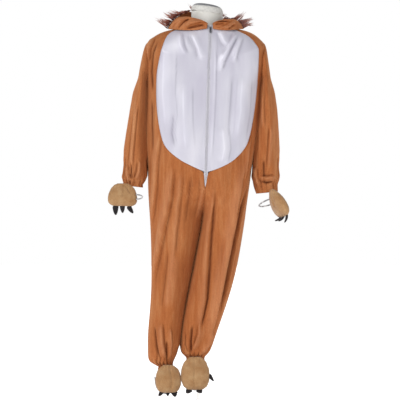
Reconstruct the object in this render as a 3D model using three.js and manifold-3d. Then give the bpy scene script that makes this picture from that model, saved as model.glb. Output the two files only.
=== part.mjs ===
// A lion costume on a dress form stand: a one-piece plush jumpsuit with a shiny belly inset, a zip,
// a hood turned down behind the neck, a fur mane and stuffed paw covers on elastic.
// Millimetres, +Z up. The costume faces -Y, and "left" is the side at -X. The origin is the centre
// of the base's underside.
import * as THREE from "three";
import { mergeVertices } from "three/addons/utils/BufferGeometryUtils.js";
import Module from "manifold-3d";

const wasm = await Module();
wasm.setup();

// ---- Cloth and seams ----
const PLUSH = 2.2; // wall of the plush cloth
const SATIN = 1.6; // wall of the shiny belly cloth
const SEAM = 0.4; // clear gap between two pieces that are sewn together
const LEG_GAP = 1.2; // clear gap between the two hanging legs
const EASE = 3; // how far a piece that lies on another floats above it

// ---- Colours ----
const COLOURS = {
  plush: [0xb4703c, 0.95, 0],
  satin: [0xdcd9e4, 0.45, 0],
  fur: [0x8a4632, 0.9, 0],
  paw: [0xb18560, 0.95, 0],
  felt: [0x1b1618, 0.95, 0],
  elastic: [0xc9c6c4, 0.8, 0],
  zip: [0xe9e6ea, 0.7, 0],
  metal: [0x55555c, 0.4, 0.9],
  form: [0xd6d3cc, 0.6, 0],
  rim: [0x8f8f90, 0.5, 0],
  steel: [0xe2e2e0, 0.45, 0.2],
};

// ---- Tables: each row is one section, in the columns named ----
const table = (columns, rows) =>
  rows.map((row) => Object.fromEntries(columns.map((column, i) => [column, row[i]])));

// Rings of the body from the neckline (ring 0) to below the crotch. zFront, zSide and zBack are the
// ring's heights at the centre front, the side and the centre back. Ring 3 crosses the shoulder tip,
// ring 5 the underarm.
const BODY = table(
  ["zFront", "zSide", "zBack", "left", "right", "middle", "front", "back"],
  [
    [1524, 1517, 1534, -92, 104, 20, 80, 78],
    [1478, 1507, 1508, -150, 156, 19, 104, 100],
    [1435, 1490, 1475, -198, 200, 17, 118, 112],
    [1390, 1450, 1420, -241, 240, 15, 126, 118],
    [1340, 1370, 1355, -244, 241, 13, 130, 120],
    [1288, 1288, 1288, -241, 227, 12, 132, 120],
    [1186, 1186, 1186, -242, 219, 9, 134, 116],
    [1062, 1062, 1062, -240, 200, 6, 136, 112],
    [960, 960, 960, -232, 187, 3.5, 134, 112],
    [876, 876, 876, -231, 176, 0, 130, 116],
    [800, 800, 800, -227, 165, -8, 124, 120],
    [742, 742, 742, -223, 158, -16, 116, 118],
  ],
);
const TIP_RING = 3;
const UNDERARM_RING = 5;
const CROTCH_RING = BODY.length - 1;
const CROTCH_START = 876; // height at which the centre seams begin to run in to the crotch

// Rings of the two legs. They start inside the body's own rings 9 to 11, which turn into them.
const FIRST_LEG_RING = 9;
const LEGS = table(
  ["zLeft", "leftOut", "leftIn", "zRight", "rightIn", "rightOut", "depth"],
  [
    [876, -231, 0, 876, 0, 176, 116],
    [800, -227, -8, 800, -8, 165, 112],
    [742, -223, -16, 742, -16, 158, 106],
    [660, -219, -32, 660, -32, 145, 98],
    [560, -218, -52, 560, -52, 128, 90],
    [466, -218, -71, 466, -71, 104, 84],
    [380, -224, -88, 380, -88, 76, 80],
    [300, -232, -99, 300, -99, 47, 75],
    [240, -233, -104, 254, -101, 33, 68],
    [204, -230, -116, 226, -102, 21, 60],
    [180, -228, -132, 209, -94, 8, 50],
    [167, -204, -134, 199, -78, -4, 38],
    [157, -186, -133, 190, -72, -8, 31],
    [146, -190, -130, 179, -77, -4, 35],
  ],
);
const LAST_RING = FIRST_LEG_RING + LEGS.length - 1;

// Outline of the belly oval: how far its edge is from x = 0, to each side, at each height.
const OVAL = table(
  ["z", "left", "right"],
  [
    [1530, 60, 70],
    [1516, 92, 96],
    [1498, 144, 142],
    [1466, 164, 196],
    [1418, 179, 214],
    [1322, 196, 210],
    [1226, 198, 202],
    [1130, 190, 190],
    [1082, 181, 182],
    [1050, 170, 169],
    [1022, 150, 152],
    [1000, 122, 130],
    [980, 94, 108],
    [962, 58, 76],
    [948, 28, 44],
    [940, 7, 12],
  ],
);
const OVAL_TIP_RING = 8.25; // the ring that passes just under the oval's tip

// Long folds that hang in the cloth: ridges (height above 0) and troughs (under 0) down the length.
// face -1 is the front, 1 the back; u is the place from the centre line (0) to the side (-1 or 1).
const FOLDS = table(
  ["face", "u", "width", "from", "to", "height"],
  [
    [-1, -0.42, 0.13, 7.6, 17.5, 9],
    [-1, -0.66, 0.1, 8.6, 15.5, -8],
    [-1, 0.3, 0.12, 8.4, 18.5, 8],
    [-1, 0.56, 0.1, 8, 19, -11],
    [-1, 0.8, 0.1, 9, 17, 7],
    [-1, 0.86, 0.08, 5.2, 8, 5],
    [1, -0.3, 0.12, 7, 16.5, 9],
    [1, -0.6, 0.12, 8, 18, -10],
    [1, 0.36, 0.12, 6.6, 17, 8],
    [1, 0.68, 0.11, 8, 18.5, -9],
    [1, -0.5, 0.14, 3.4, 7.4, 6],
    [1, 0.45, 0.14, 3, 7, 6],
  ],
);
const HEM_GATHER = 2.2; // how far the gathers stand in and out at an elastic
const BODY_COLUMNS = 8; // faces across each front and back
const OVAL_COLUMNS = 5;

// Sleeve rings: the outer edge, the inner edge beside the body, and the half depth along Y. They
// fan out from the armhole, which is ring 0, and hang down to the elastic and the hem.
const SLEEVES = {
  left: table(
    ["xOut", "zOut", "xIn", "zIn", "depth"],
    [
      [-252, 1424, -243.5, 1276, 70],
      [-262, 1370, -242.8, 1262, 80],
      [-272, 1310, -243.2, 1244, 86],
      [-283, 1255, -243.6, 1218, 86],
      [-292, 1205, -244, 1186, 84],
      [-301, 1150, -243.8, 1140, 80],
      [-311, 1090, -242.8, 1085, 74],
      [-319, 1030, -240, 1030, 68],
      [-326, 975, -235.4, 975, 60],
      [-331, 935, -234.6, 932, 52],
      [-335, 914, -241, 908, 44],
      [-331, 902, -250, 895, 36],
      [-326, 894, -257, 886, 31],
      [-329, 885, -252, 877, 34],
    ],
  ),
  right: table(
    ["xOut", "zOut", "xIn", "zIn", "depth"],
    [
      [249, 1426, 230, 1276, 70],
      [254, 1375, 227.2, 1262, 80],
      [262, 1315, 225.8, 1244, 86],
      [269, 1255, 223.6, 1218, 86],
      [278, 1205, 221.2, 1186, 84],
      [283, 1150, 214.8, 1140, 80],
      [287, 1090, 205.6, 1085, 74],
      [289, 1030, 198, 1030, 68],
      [293, 975, 191, 975, 60],
      [296, 935, 187.4, 935, 52],
      [297, 912, 187, 910, 44],
      [290, 897, 194, 894, 37],
      [285, 886, 198, 882, 33],
      [291, 860, 202, 851, 36],
    ],
  ),
};
const SLEEVE_COLUMNS = 16;
const ARMHOLE_CUT = 0.21; // how far the armhole cuts into the front and the back, in u
const UNDERARM_EASE = 0.5; // further gap between sleeve and body under the arm
const ARMHOLE_BLEND = 0.7; // how far the first sleeve ring has left the armhole's own shape

// ---- Curves through tables ----
// The value of a column at a place between rows, on a smooth curve that never overshoots a row.
function along(rows, column, place) {
  const i = Math.max(0, Math.min(rows.length - 2, Math.floor(place)));
  const step = (k) => rows[k + 1][column] - rows[k][column];
  const slope = (k) => {
    if (k === 0) return step(0);
    if (k === rows.length - 1) return step(k - 1);
    const before = step(k - 1);
    const after = step(k);
    return before * after <= 0 ? 0 : (2 * before * after) / (before + after);
  };
  const t = place - i;
  const rise = step(i);
  const a = slope(i) - rise;
  const b = rise - slope(i + 1);
  return rows[i][column] + rise * t + t * (1 - t) * (a * (1 - t) + b * t);
}

// The value of a column where another column, which rises or falls throughout, has a given value.
function lookUp(rows, key, value, column) {
  const falling = rows[0][key] > rows[1][key];
  const past = (row) => (falling ? row[key] <= value : row[key] >= value);
  const next = rows.findIndex(past);
  if (next <= 0) return next === 0 ? rows[0][column] : rows[rows.length - 1][column];
  const from = rows[next - 1];
  return along(rows, column, next - 1 + (value - from[key]) / (rows[next][key] - from[key]));
}

const clamp01 = (t) => Math.min(1, Math.max(0, t));
const smooth = (t) => clamp01(t) ** 2 * (3 - 2 * clamp01(t));
const mix = (a, b, t) => a + (b - a) * t;
const steps = (from, to, count) =>
  Array.from({ length: count + 1 }, (_, i) => mix(from, to, i / count));
const vector = (x, y, z) => new THREE.Vector3(x, y, z);

// ---- The surface of the body ----
// A point of the garment before its folds: face -1 front or 1 back, u from -1 (left side) over 0
// (centre line) to 1 (right side), ring from the neckline down to the ankle hem.
function plainPoint(face, u, ring) {
  const side = u < 0 ? -1 : 1;
  const across = Math.abs(u);
  const cos = Math.cos((across * Math.PI) / 2);
  const sin = Math.sin((across * Math.PI) / 2);
  const torso = vector(0, 0, 0);
  let toLeg = 1;
  if (ring <= CROTCH_RING) {
    const at = (column) => along(BODY, column, ring);
    const fullness = 1 + 0.22 * sin * sin;
    const middle = at("middle");
    torso.x = mix(middle, at(side < 0 ? "left" : "right"), sin);
    torso.y = face * at(face < 0 ? "front" : "back") * cos * fullness;
    torso.z = mix(at("zSide"), at(face < 0 ? "zFront" : "zBack"), cos * cos);
    toLeg = smooth((CROTCH_START - torso.z) / (CROTCH_START - BODY[CROTCH_RING].zSide)) ** 1.4;
    if (toLeg === 0) return torso;
  }
  const at = (column) => along(LEGS, column, ring - FIRST_LEG_RING);
  const inner = at(side < 0 ? "leftIn" : "rightIn") + (side * LEG_GAP) / 2;
  const turn = across * Math.PI;
  const leg = vector(
    mix(inner, at(side < 0 ? "leftOut" : "rightOut"), (1 - Math.cos(turn)) / 2),
    face * at("depth") * Math.sin(turn),
    at(side < 0 ? "zLeft" : "zRight"),
  );
  return torso.lerp(leg, toLeg);
}

// How far the cloth stands out of its plain form: the folds, and the gathers above an elastic.
function foldHeight(face, u, ring) {
  let height = 0;
  for (const fold of FOLDS) {
    if (fold.face !== face || fold.u * u < 0) continue;
    const length = (ring - fold.from) / (fold.to - fold.from);
    if (length <= 0 || length >= 1) continue;
    const off = (u - fold.u) / fold.width;
    height += fold.height * Math.exp(-off * off) * Math.sin(Math.PI * length) ** 0.7;
  }
  return height;
}

// The direction out of a surface given as a function of two numbers.
function outward(surface, a, b, span) {
  const [low, high, top, bottom] = span;
  const step = 1e-3;
  const da = surface(Math.min(high, a + step), b).sub(surface(Math.max(low, a - step), b));
  const db = surface(a, Math.min(bottom, b + step)).sub(surface(a, Math.max(top, b - step)));
  return db.cross(da).normalize();
}

function bodyNormal(face, u, ring, surface = plainPoint) {
  const span = u < 0 ? [-1, -1e-6, 0, LAST_RING] : [0, 1, 0, LAST_RING];
  return outward((a, b) => surface(face, a, b), u, ring, span).multiplyScalar(-face);
}

function bodyPoint(face, u, ring) {
  const height = foldHeight(face, u, ring);
  const point = plainPoint(face, u, ring);
  return height === 0 ? point : point.addScaledVector(bodyNormal(face, u, ring), height);
}

// How much of u is one millimetre across the cloth at a place.
function uPerMm(face, u, ring) {
  const inside = u > 0.5 ? -1e-3 : 1e-3;
  return 1e-3 / plainPoint(face, u + inside, ring).distanceTo(plainPoint(face, u, ring));
}

// ---- Walls and closed lofts ----
function meshOf(positions, triangles) {
  const geometry = new THREE.BufferGeometry();
  const flat = new Float32Array(positions.length * 3);
  positions.forEach((p, i) => flat.set([p.x, p.y, p.z], i * 3));
  geometry.setAttribute("position", new THREE.BufferAttribute(flat, 3));
  geometry.setIndex(triangles);
  return geometry;
}

// A closed cloth wall. grid[row][column] holds its outer points, columns run anticlockwise round
// the garment seen from above and rows run down, and inward (if given) says which way each point's
// thickness goes.
function wall(grid, thickness, { loop = false, inward = null } = {}) {
  const rows = grid.length;
  const columns = grid[0].length;
  const at = (i, j) =>
    grid[Math.max(0, Math.min(rows - 1, i))][
      loop ? (j + columns) % columns : Math.max(0, Math.min(columns - 1, j))
    ];
  const positions = [];
  for (let i = 0; i < rows; i++)
    for (let j = 0; j < columns; j++) {
      const across = at(i, j + 1).clone().sub(at(i, j - 1));
      const down = at(i + 1, j).clone().sub(at(i - 1, j));
      const into = across.cross(down).normalize();
      if (inward && inward(i, j)) into.copy(inward(i, j)(into));
      positions.push(at(i, j), at(i, j).clone().addScaledVector(into, thickness));
    }
  const outer = (i, j) => 2 * (i * columns + (loop ? j % columns : j));
  const inner = (i, j) => outer(i, j) + 1;
  const triangles = [];
  const quad = (a, b, c, d) => triangles.push(a, b, c, a, c, d);
  const lastRow = rows - 1;
  const faces = loop ? columns : columns - 1;
  for (let i = 0; i < lastRow; i++)
    for (let j = 0; j < faces; j++) {
      quad(outer(i, j), outer(i + 1, j), outer(i + 1, j + 1), outer(i, j + 1));
      quad(inner(i, j), inner(i, j + 1), inner(i + 1, j + 1), inner(i + 1, j));
    }
  for (let j = 0; j < faces; j++) {
    quad(outer(0, j), outer(0, j + 1), inner(0, j + 1), inner(0, j));
    quad(outer(lastRow, j + 1), outer(lastRow, j), inner(lastRow, j), inner(lastRow, j + 1));
  }
  for (let i = 0; i < lastRow && !loop; i++) {
    quad(outer(i + 1, 0), outer(i, 0), inner(i, 0), inner(i + 1, 0));
    quad(outer(i, faces), outer(i + 1, faces), inner(i + 1, faces), inner(i, faces));
  }
  return meshOf(positions, triangles);
}

// A closed body through a stack of closed rings, each with the same number of points.
function loft(rings, { closed = false } = {}) {
  const count = rings[0].length;
  const positions = rings.flat();
  const triangles = [];
  const last = rings.length - 1;
  for (let i = 0; i < (closed ? rings.length : last); i++)
    for (let j = 0; j < count; j++) {
      const k = (j + 1) % count;
      const below = (i + 1) % rings.length;
      const [a, b, c, d] = [i * count + j, i * count + k, below * count + k, below * count + j];
      triangles.push(a, b, c, a, c, d);
    }
  if (!closed)
    for (const i of [0, last]) {
      const centre = rings[i].reduce((sum, p) => sum.add(p), vector(0, 0, 0));
      positions.push(centre.divideScalar(count));
      for (let j = 0; j < count; j++) {
        const edge = [i * count + j, i * count + ((j + 1) % count)];
        if (i === 0) edge.reverse();
        triangles.push(positions.length - 1, ...edge);
      }
    }
  return facingOut(meshOf(positions, triangles));
}

function facingOut(geometry) {
  const p = geometry.attributes.position;
  const index = geometry.index.array;
  const corner = (i) => vector(p.getX(index[i]), p.getY(index[i]), p.getZ(index[i]));
  let volume = 0;
  for (let i = 0; i < index.length; i += 3)
    volume += corner(i).dot(corner(i + 1).cross(corner(i + 2)));
  if (volume < 0)
    for (let i = 0; i < index.length; i += 3)
      [index[i + 1], index[i + 2]] = [index[i + 2], index[i + 1]];
  return geometry;
}

// A flat band with square edges along a line of points. "across" is the band's width direction.
function band(points, across, width, thickness, closed = false) {
  const count = points.length;
  const rings = points.map((point, i) => {
    const before = points[closed ? (i + count - 1) % count : Math.max(0, i - 1)];
    const after = points[closed ? (i + 1) % count : Math.min(count - 1, i + 1)];
    const run = after.clone().sub(before).normalize();
    const half = across.clone().multiplyScalar(width / 2);
    const rise = run.cross(across).normalize().multiplyScalar(thickness / 2);
    return [
      [1, 1],
      [-1, 1],
      [-1, -1],
      [1, -1],
    ].map(([a, b]) => point.clone().addScaledVector(half, a).addScaledVector(rise, b));
  });
  return loft(rings, { closed });
}

function solid(geometry) {
  const made = new wasm.Mesh({
    numProp: 3,
    vertProperties: new Float32Array(geometry.attributes.position.array),
    triVerts: new Uint32Array(geometry.index.array),
  });
  return new wasm.Manifold(made);
}

function geometryOf(manifold) {
  const mesh = manifold.getMesh();
  const geometry = new THREE.BufferGeometry();
  geometry.setAttribute("position", new THREE.BufferAttribute(mesh.vertProperties, 3));
  geometry.setIndex(Array.from(mesh.triVerts));
  return geometry;
}

const costume = new THREE.Group();
function add(name, geometry, colour, parent = costume) {
  const [color, roughness, metalness] = COLOURS[colour];
  const material = new THREE.MeshStandardMaterial({ color, roughness, metalness });
  const mesh = new THREE.Mesh(geometry, material);
  mesh.name = name;
  parent.add(mesh);
  return mesh;
}

// ---- Rows of the body's walls ----
const ARMHOLE_TURNS = steps(0, Math.PI, SLEEVE_COLUMNS / 2);
const armholeRing = (turn) => mix(TIP_RING, UNDERARM_RING, (1 - Math.cos(turn)) / 2);
const SHOULDER_ROWS = [0, 0.6, 1.3, 2.1];
const BELLY_ROWS = [
  ...SHOULDER_ROWS,
  ...ARMHOLE_TURNS.map(armholeRing),
  ...[5.6, 6.3, 7, 7.3, 7.55, 7.75, 7.9, 8.03, 8.14],
  OVAL_TIP_RING,
];
const ZIP_END_RING = 9;
const SLIT_END_RING = 9.06; // the slit that holds the zip is closed by here
const LOWER_ROWS = [9.5, 10, 10.5, ...steps(CROTCH_RING, LAST_RING, 11)];
const FRONT_ROWS = [...BELLY_ROWS, 8.4, ZIP_END_RING, SLIT_END_RING, ...LOWER_ROWS];
const BACK_ROWS = [
  ...SHOULDER_ROWS,
  ...ARMHOLE_TURNS.map(armholeRing),
  ...[5.7, 6.5, 7.3, 8, 9],
  ...LOWER_ROWS,
];

// The side edge of the fronts and backs: the shoulder seam, the armhole, then the side seam.
function sideEdge(face, ring) {
  const cut = 1 - ((ring - (TIP_RING + UNDERARM_RING) / 2) / ((UNDERARM_RING - TIP_RING) / 2)) ** 2;
  const armhole = cut > 0 ? ARMHOLE_CUT * Math.sqrt(cut) : 0;
  return 1 - armhole - (SEAM / 2) * uPerMm(face, 1 - armhole, ring);
}

// ---- Zip sizes: the chain lies between two tapes, in a slit between the belly halves ----
const CHAIN_HALF = 2.8;
const TAPE_OUT = 7;
const zipU = (ring, millimetres) => millimetres * uPerMm(-1, 0, ring);

// The belly oval's edge in u, where the ring's own width reaches the oval's width.
function ovalEdge(side, ring) {
  const column = side < 0 ? "left" : "right";
  let [low, high] = [zipU(ring, TAPE_OUT + SEAM), 0.97];
  for (let i = 0; i < 24; i++) {
    const u = (low + high) / 2;
    const point = plainPoint(-1, side * u, ring);
    if (side * point.x < lookUp(OVAL, "z", point.z, column)) low = u;
    else high = u;
  }
  return (low + high) / 2;
}

// Half the seam gap beside the oval, in u: wider where the edge runs almost along a ring.
function ovalGap(side, ring) {
  const step = 0.04;
  const point = (r) => plainPoint(-1, side * ovalEdge(side, r), r);
  const run = point(ring + step).sub(point(ring - (ring > step ? step : 0)));
  const slant = Math.hypot(run.x, run.z) / Math.max(1e-6, Math.abs(run.z));
  return (SEAM / 2) * Math.min(slant, 6) * uPerMm(-1, ovalEdge(side, ring), ring);
}

// A panel of the body between two edges that are functions of the ring.
function bodyPanel(face, side, rows, from, to, columns, thickness) {
  const grid = rows.map((ring, row) =>
    steps(from(ring), to(ring), columns).map((u, column) => {
      const point = bodyPoint(face, side * u, ring);
      const above = smooth((ring - (LAST_RING - 3)) / 2);
      const wave = (column % 2 ? -1 : 1) * HEM_GATHER * above;
      const atSeam = column === 0 || column === columns;
      return atSeam || wave === 0
        ? point
        : point.addScaledVector(bodyNormal(face, side * u, ring), wave);
    }),
  );
  const fromSide = face * side > 0; // anticlockwise seen from above
  if (fromSide) grid.forEach((row) => row.reverse());
  const inward = (i, j) => (own) => {
    const u = side * mix(from(rows[i]), to(rows[i]), (fromSide ? columns - j : j) / columns);
    const edge = j === 0 || j === columns;
    return edge ? bodyNormal(face, u, rows[i]).negate() : own;
  };
  return wall(grid, thickness, { inward });
}

for (const [side, word] of [
  [-1, "left"],
  [1, "right"],
]) {
  const zipEdge = (ring) => zipU(ring, TAPE_OUT + SEAM);
  const frontEdge = (ring) => {
    if (ring <= OVAL_TIP_RING) return ovalEdge(side, ring) + ovalGap(side, ring);
    return ring <= ZIP_END_RING ? zipEdge(ring) : zipU(ring, SEAM / 2);
  };
  const bellyEdge = (ring) => ovalEdge(side, ring) - ovalGap(side, ring);
  const sideOf = (face) => (ring) => sideEdge(face, ring);
  const centreBack = (ring) => (SEAM / 2) * uPerMm(1, 0, ring);
  add(
    "belly_" + word,
    bodyPanel(-1, side, BELLY_ROWS, zipEdge, bellyEdge, OVAL_COLUMNS, SATIN),
    "satin",
  );
  add(
    "front_" + word,
    bodyPanel(-1, side, FRONT_ROWS, frontEdge, sideOf(-1), BODY_COLUMNS, PLUSH),
    "plush",
  );
  add(
    "back_" + word,
    bodyPanel(1, side, BACK_ROWS, centreBack, sideOf(1), BODY_COLUMNS, PLUSH),
    "plush",
  );
}

// ---- Sleeves ----
// A point of the armhole: turn 0 at the shoulder tip, then down the front and up the back.
function armholePlace(side, turn) {
  const face = turn < Math.PI ? -1 : 1;
  const half = face < 0 ? turn : 2 * Math.PI - turn;
  return [face, side * (1 - ARMHOLE_CUT * Math.abs(Math.sin(half))), armholeRing(half)];
}

function sleeve(side, rows) {
  const turns = steps(0, 2 * Math.PI, SLEEVE_COLUMNS).slice(0, -1);
  const armhole = turns.map((turn) => {
    const point = bodyPoint(...armholePlace(side, turn));
    point.x += side * (SEAM + UNDERARM_EASE * smooth((1 - Math.cos(turn)) / 2));
    return point;
  });
  const grid = rows.map((row, i) =>
    turns.map((turn, j) => {
      const last = rows.length - 1;
      const gather = smooth((i - (last - 4)) / 2) * (j % 2 ? -1 : 1) * HEM_GATHER;
      const across = (1 + Math.cos(turn)) / 2;
      const point = vector(
        mix(row.xIn, row.xOut, across),
        -(row.depth + gather) * Math.sin(turn),
        mix(row.zIn, row.zOut, across),
      );
      return i === 0 ? armhole[j].clone().lerp(point, ARMHOLE_BLEND) : point;
    }),
  );
  grid.unshift(armhole);
  const order = side > 0 ? grid.map((row) => [row[0], ...row.slice(1).reverse()]) : grid;
  const turnAt = (j) => turns[side > 0 ? (turns.length - j) % turns.length : j];
  const inward = (i, j) =>
    i > 0
      ? null
      : (own) => {
          const down = (1 - Math.cos(turnAt(j))) / 2;
          const body = bodyNormal(...armholePlace(side, turnAt(j))).negate();
          return body.lerp(own, smooth(down)).normalize();
        };
  return wall(order, PLUSH, { loop: true, inward });
}
add("sleeve_left", sleeve(-1, SLEEVES.left), "plush");
add("sleeve_right", sleeve(1, SLEEVES.right), "plush");

// ---- Zip: a chain between two tapes, a slider at the top and its pull tab ----
const CHAIN_PROUD = 0.8; // how far the chain stands out of the cloth
const CHAIN_WALL = 2;
const TAPE_WALL = 1.2;
const ZIP_ROWS = [0, 0.6, 1.3, 2.1, 3, 4, 5, 6, 7, 8, 8.5, ZIP_END_RING - 0.04];

function zipStrip(offsets, proud, thickness) {
  const grid = ZIP_ROWS.map((ring) =>
    offsets.map((offset) => {
      const u = zipU(ring, offset);
      return bodyPoint(-1, u, ring).addScaledVector(bodyNormal(-1, u, ring), proud);
    }),
  );
  const inward = (i, j) => () => bodyNormal(-1, zipU(ZIP_ROWS[i], offsets[j]), ZIP_ROWS[i]).negate();
  return wall(grid, thickness, { inward });
}
add("zip_teeth", zipStrip([-CHAIN_HALF, 0, CHAIN_HALF], CHAIN_PROUD, CHAIN_WALL), "zip");
add("zip_tape_left", zipStrip([-TAPE_OUT, -CHAIN_HALF - SEAM], 0, TAPE_WALL), "zip");
add("zip_tape_right", zipStrip([CHAIN_HALF + SEAM, TAPE_OUT], 0, TAPE_WALL), "zip");

// The slider's own frame: x across the zip, y up along it, z out of the cloth.
const SLIDER_RING = 0.3;
const SLIDER = { length: 14, top: 9, bottom: 6.4, from: 1.4, to: 3.9 };
const BRIDGE = { width: 2.4, half: 4, slotHalf: 2.6, slotTop: 6.9, top: 8.3 };
const TAB = { bar: 1.4, half: 4, holeHalf: 2.6, holeEnd: 6.3, length: 23, axis: 5.4 };

function sliderFrame() {
  const place = bodyPoint(-1, 0, SLIDER_RING);
  const step = 0.2;
  const down = bodyPoint(-1, 0, SLIDER_RING + step).sub(bodyPoint(-1, 0, SLIDER_RING - step));
  down.x = 0;
  down.normalize();
  const across = vector(1, 0, 0);
  const out = down.clone().cross(across);
  const frame = new THREE.Group();
  frame.quaternion.setFromRotationMatrix(
    new THREE.Matrix4().makeBasis(across, down.clone().negate(), out),
  );
  frame.position.copy(place);
  return frame;
}
const sliderPlace = sliderFrame();
costume.add(sliderPlace);

const outline = (points) => new THREE.Shape(points.map(([x, y]) => new THREE.Vector2(x, y)));
const plate = (shape, depth, curveSegments = 6) =>
  merged(new THREE.ExtrudeGeometry(shape, { depth, bevelEnabled: false, curveSegments }));
function merged(geometry) {
  geometry.deleteAttribute("normal");
  geometry.deleteAttribute("uv");
  return mergeVertices(geometry, 1e-4);
}

function sliderBody() {
  const { length, top, bottom, from, to } = SLIDER;
  const shield = outline([
    [-bottom / 2, -length / 2],
    [bottom / 2, -length / 2],
    [top / 2, length / 6],
    [top / 2 - 1, length / 2],
    [1, length / 2 - 1.2],
    [-1, length / 2 - 1.2],
    [1 - top / 2, length / 2],
    [-top / 2, length / 6],
  ]);
  const body = plate(shield, to - from).translate(0, 0, from);
  const { width, half, slotHalf, slotTop, top: crest } = BRIDGE;
  const foot = to - 0.6; // the bridge's feet are sunk into the body
  const arch = outline([
    [-half, foot],
    [-slotHalf, foot],
    [-slotHalf, slotTop],
    [slotHalf, slotTop],
    [slotHalf, foot],
    [half, foot],
    [half, crest - 1.4],
    [half - 1.4, crest],
    [1.4 - half, crest],
    [-half, crest - 1.4],
  ]);
  // The arch is drawn in the plane along the zip and given its width across it.
  const bridge = plate(arch, width);
  bridge.applyMatrix4(
    new THREE.Matrix4().makeBasis(vector(0, 1, 0), vector(0, 0, 1), vector(1, 0, 0)),
  );
  bridge.translate(-width / 2, 0, 0);
  return geometryOf(solid(body).add(solid(bridge)));
}

function pullTab() {
  const { bar, half, holeHalf, holeEnd, length, axis } = TAB;
  const shape = new THREE.Shape();
  shape.moveTo(-half, bar / 2);
  shape.lineTo(-half, half - length);
  shape.absarc(0, half - length, half, Math.PI, 2 * Math.PI, false);
  shape.lineTo(half, bar / 2);
  shape.closePath();
  shape.holes.push(
    outline([
      [-holeHalf, -bar / 2],
      [holeHalf, -bar / 2],
      [holeHalf, -holeEnd],
      [-holeHalf, -holeEnd],
    ]),
  );
  return plate(shape, bar).translate(0, 0, axis - bar / 2);
}
add("zip_slider", sliderBody(), "metal", sliderPlace);
add("zip_pull_tab", pullTab(), "metal", sliderPlace);

// ---- Hood: two lobes turned down in front, and a pouch in two halves behind ----
const NECK_LIFT = 1.6; // how far the hood's seam lies above the neckline
const FLAPS = {
  left: table(
    ["u", "ring", "height"],
    [
      [0.06, 0.36, 12],
      [0.14, 0.44, 25],
      [0.3, 0.58, 36],
      [0.5, 0.72, 43],
      [0.7, 0.87, 43],
      [0.86, 0.97, 32],
      [0.98, 1.0, 14],
    ],
  ),
  right: table(
    ["u", "ring", "height"],
    [
      [0.06, 0.38, 12],
      [0.14, 0.46, 23],
      [0.3, 0.58, 30],
      [0.5, 0.7, 33],
      [0.7, 0.81, 32],
      [0.86, 0.9, 26],
      [0.98, 0.94, 12],
    ],
  ),
};
const FLAP_ROWS = 6;
const FLAP_COLUMNS = 9;
const HOOD_RIM = {
  left: table(
    ["u", "x", "y", "z"],
    [
      [1, -152, 2, 1514],
      [0.8, -142, 52, 1538],
      [0.55, -112, 102, 1568],
      [0.28, -62, 138, 1590],
      [0, 6, 152, 1580],
    ],
  ),
  right: table(
    ["u", "x", "y", "z"],
    [
      [1, 150, 2, 1513],
      [0.8, 146, 52, 1534],
      [0.55, 122, 100, 1549],
      [0.28, 72, 136, 1562],
      [0, 6, 152, 1580],
    ],
  ),
};
const HOOD_SAG = 165; // how far the pouch hangs at the centre back
const HOOD_BULGE = 74; // how far it stands out there
const HOOD_ROWS = 10;
const HOOD_COLUMNS = 9;
const hoodAcross = steps(0.98, 0.006, HOOD_COLUMNS);

const rowAt = (rows, column, key, value) => lookUp(rows, key, value, column);

function neckSeam(face, u) {
  const seam = plainPoint(face, u, 0).addScaledVector(bodyNormal(face, u, 0), NECK_LIFT);
  seam.z += NECK_LIFT;
  return seam;
}

function hoodFlap(side, rows) {
  const across = steps(rows[0].u, rows.at(-1).u, FLAP_COLUMNS);
  if (side < 0) across.reverse();
  const grid = steps(0, 1, FLAP_ROWS).map((t) =>
    across.map((u) => {
      const ring = rowAt(rows, "ring", "u", u);
      const hem = bodyPoint(-1, side * u, ring);
      hem.addScaledVector(bodyNormal(-1, side * u, ring), EASE + 2);
      const arch = Math.sin(Math.PI * t) ** 0.75;
      const point = neckSeam(-1, side * u).lerp(hem, t);
      point.z += rowAt(rows, "height", "u", u) * arch;
      return point.addScaledVector(bodyNormal(-1, side * u, ring), 7 * arch * t);
    }),
  );
  return wall(grid, PLUSH);
}

// A point of the hood's pouch: t 0 at the neck seam, over the bottom of the pouch, to 1 at the rim.
function hoodPoint(side, u, t) {
  const rows = HOOD_RIM[side < 0 ? "left" : "right"];
  const rim = vector(...["x", "y", "z"].map((axis) => rowAt(rows, axis, "u", u)));
  const seam = neckSeam(1, side * u);
  const out = vector(rim.x - seam.x, rim.y - seam.y, 0).normalize();
  const point = seam.lerp(rim, t);
  const back = 1 - u;
  point.z -= HOOD_SAG * back ** 2.2 * Math.sin(Math.PI * t) ** 2;
  return point.addScaledVector(out, HOOD_BULGE * back ** 0.8 * Math.sin(Math.PI * t ** 1.3));
}

function hoodHalf(side) {
  const across = side > 0 ? hoodAcross.toReversed() : hoodAcross;
  const grid = steps(0, 1, HOOD_ROWS).map((t) => across.map((u) => hoodPoint(side, u, t)));
  return wall(grid, PLUSH);
}

// ---- Mane: locks of long fur, rooted in a narrow strip along the hood's rim ----
const LOCKS = 40; // on each half
const LOCK_LENGTH = 54;
const LOCK_ROOT = 2;
const LOCK_ROWS = table(
  ["place", "flare"],
  [
    [-1.2, 0.1],
    [0, 0.6],
    [1.2, 1.2],
  ],
);
const MANE_STRIP = { width: 6.4, thickness: 3, gap: 4.8, from: 0.95, to: 0.02 };
const STRIP_STEPS = 24;
const LEAST_LIFT = 0.75; // how much of a lock's direction is at least straight out of the strip
const LYING = { from: 0.9, to: 0.45, rise: 0.36 }; // towards the neck the locks lie back over the pouch
const BELOW_RIM = 1 - 1 / HOOD_ROWS; // the pouch's row just below its rim
// A number from -1 to 1 that looks random but is the same every time.
const scatter = (seed) => Math.sin(seed * 78.233) * Math.cos(seed * 12.9898);

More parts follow.
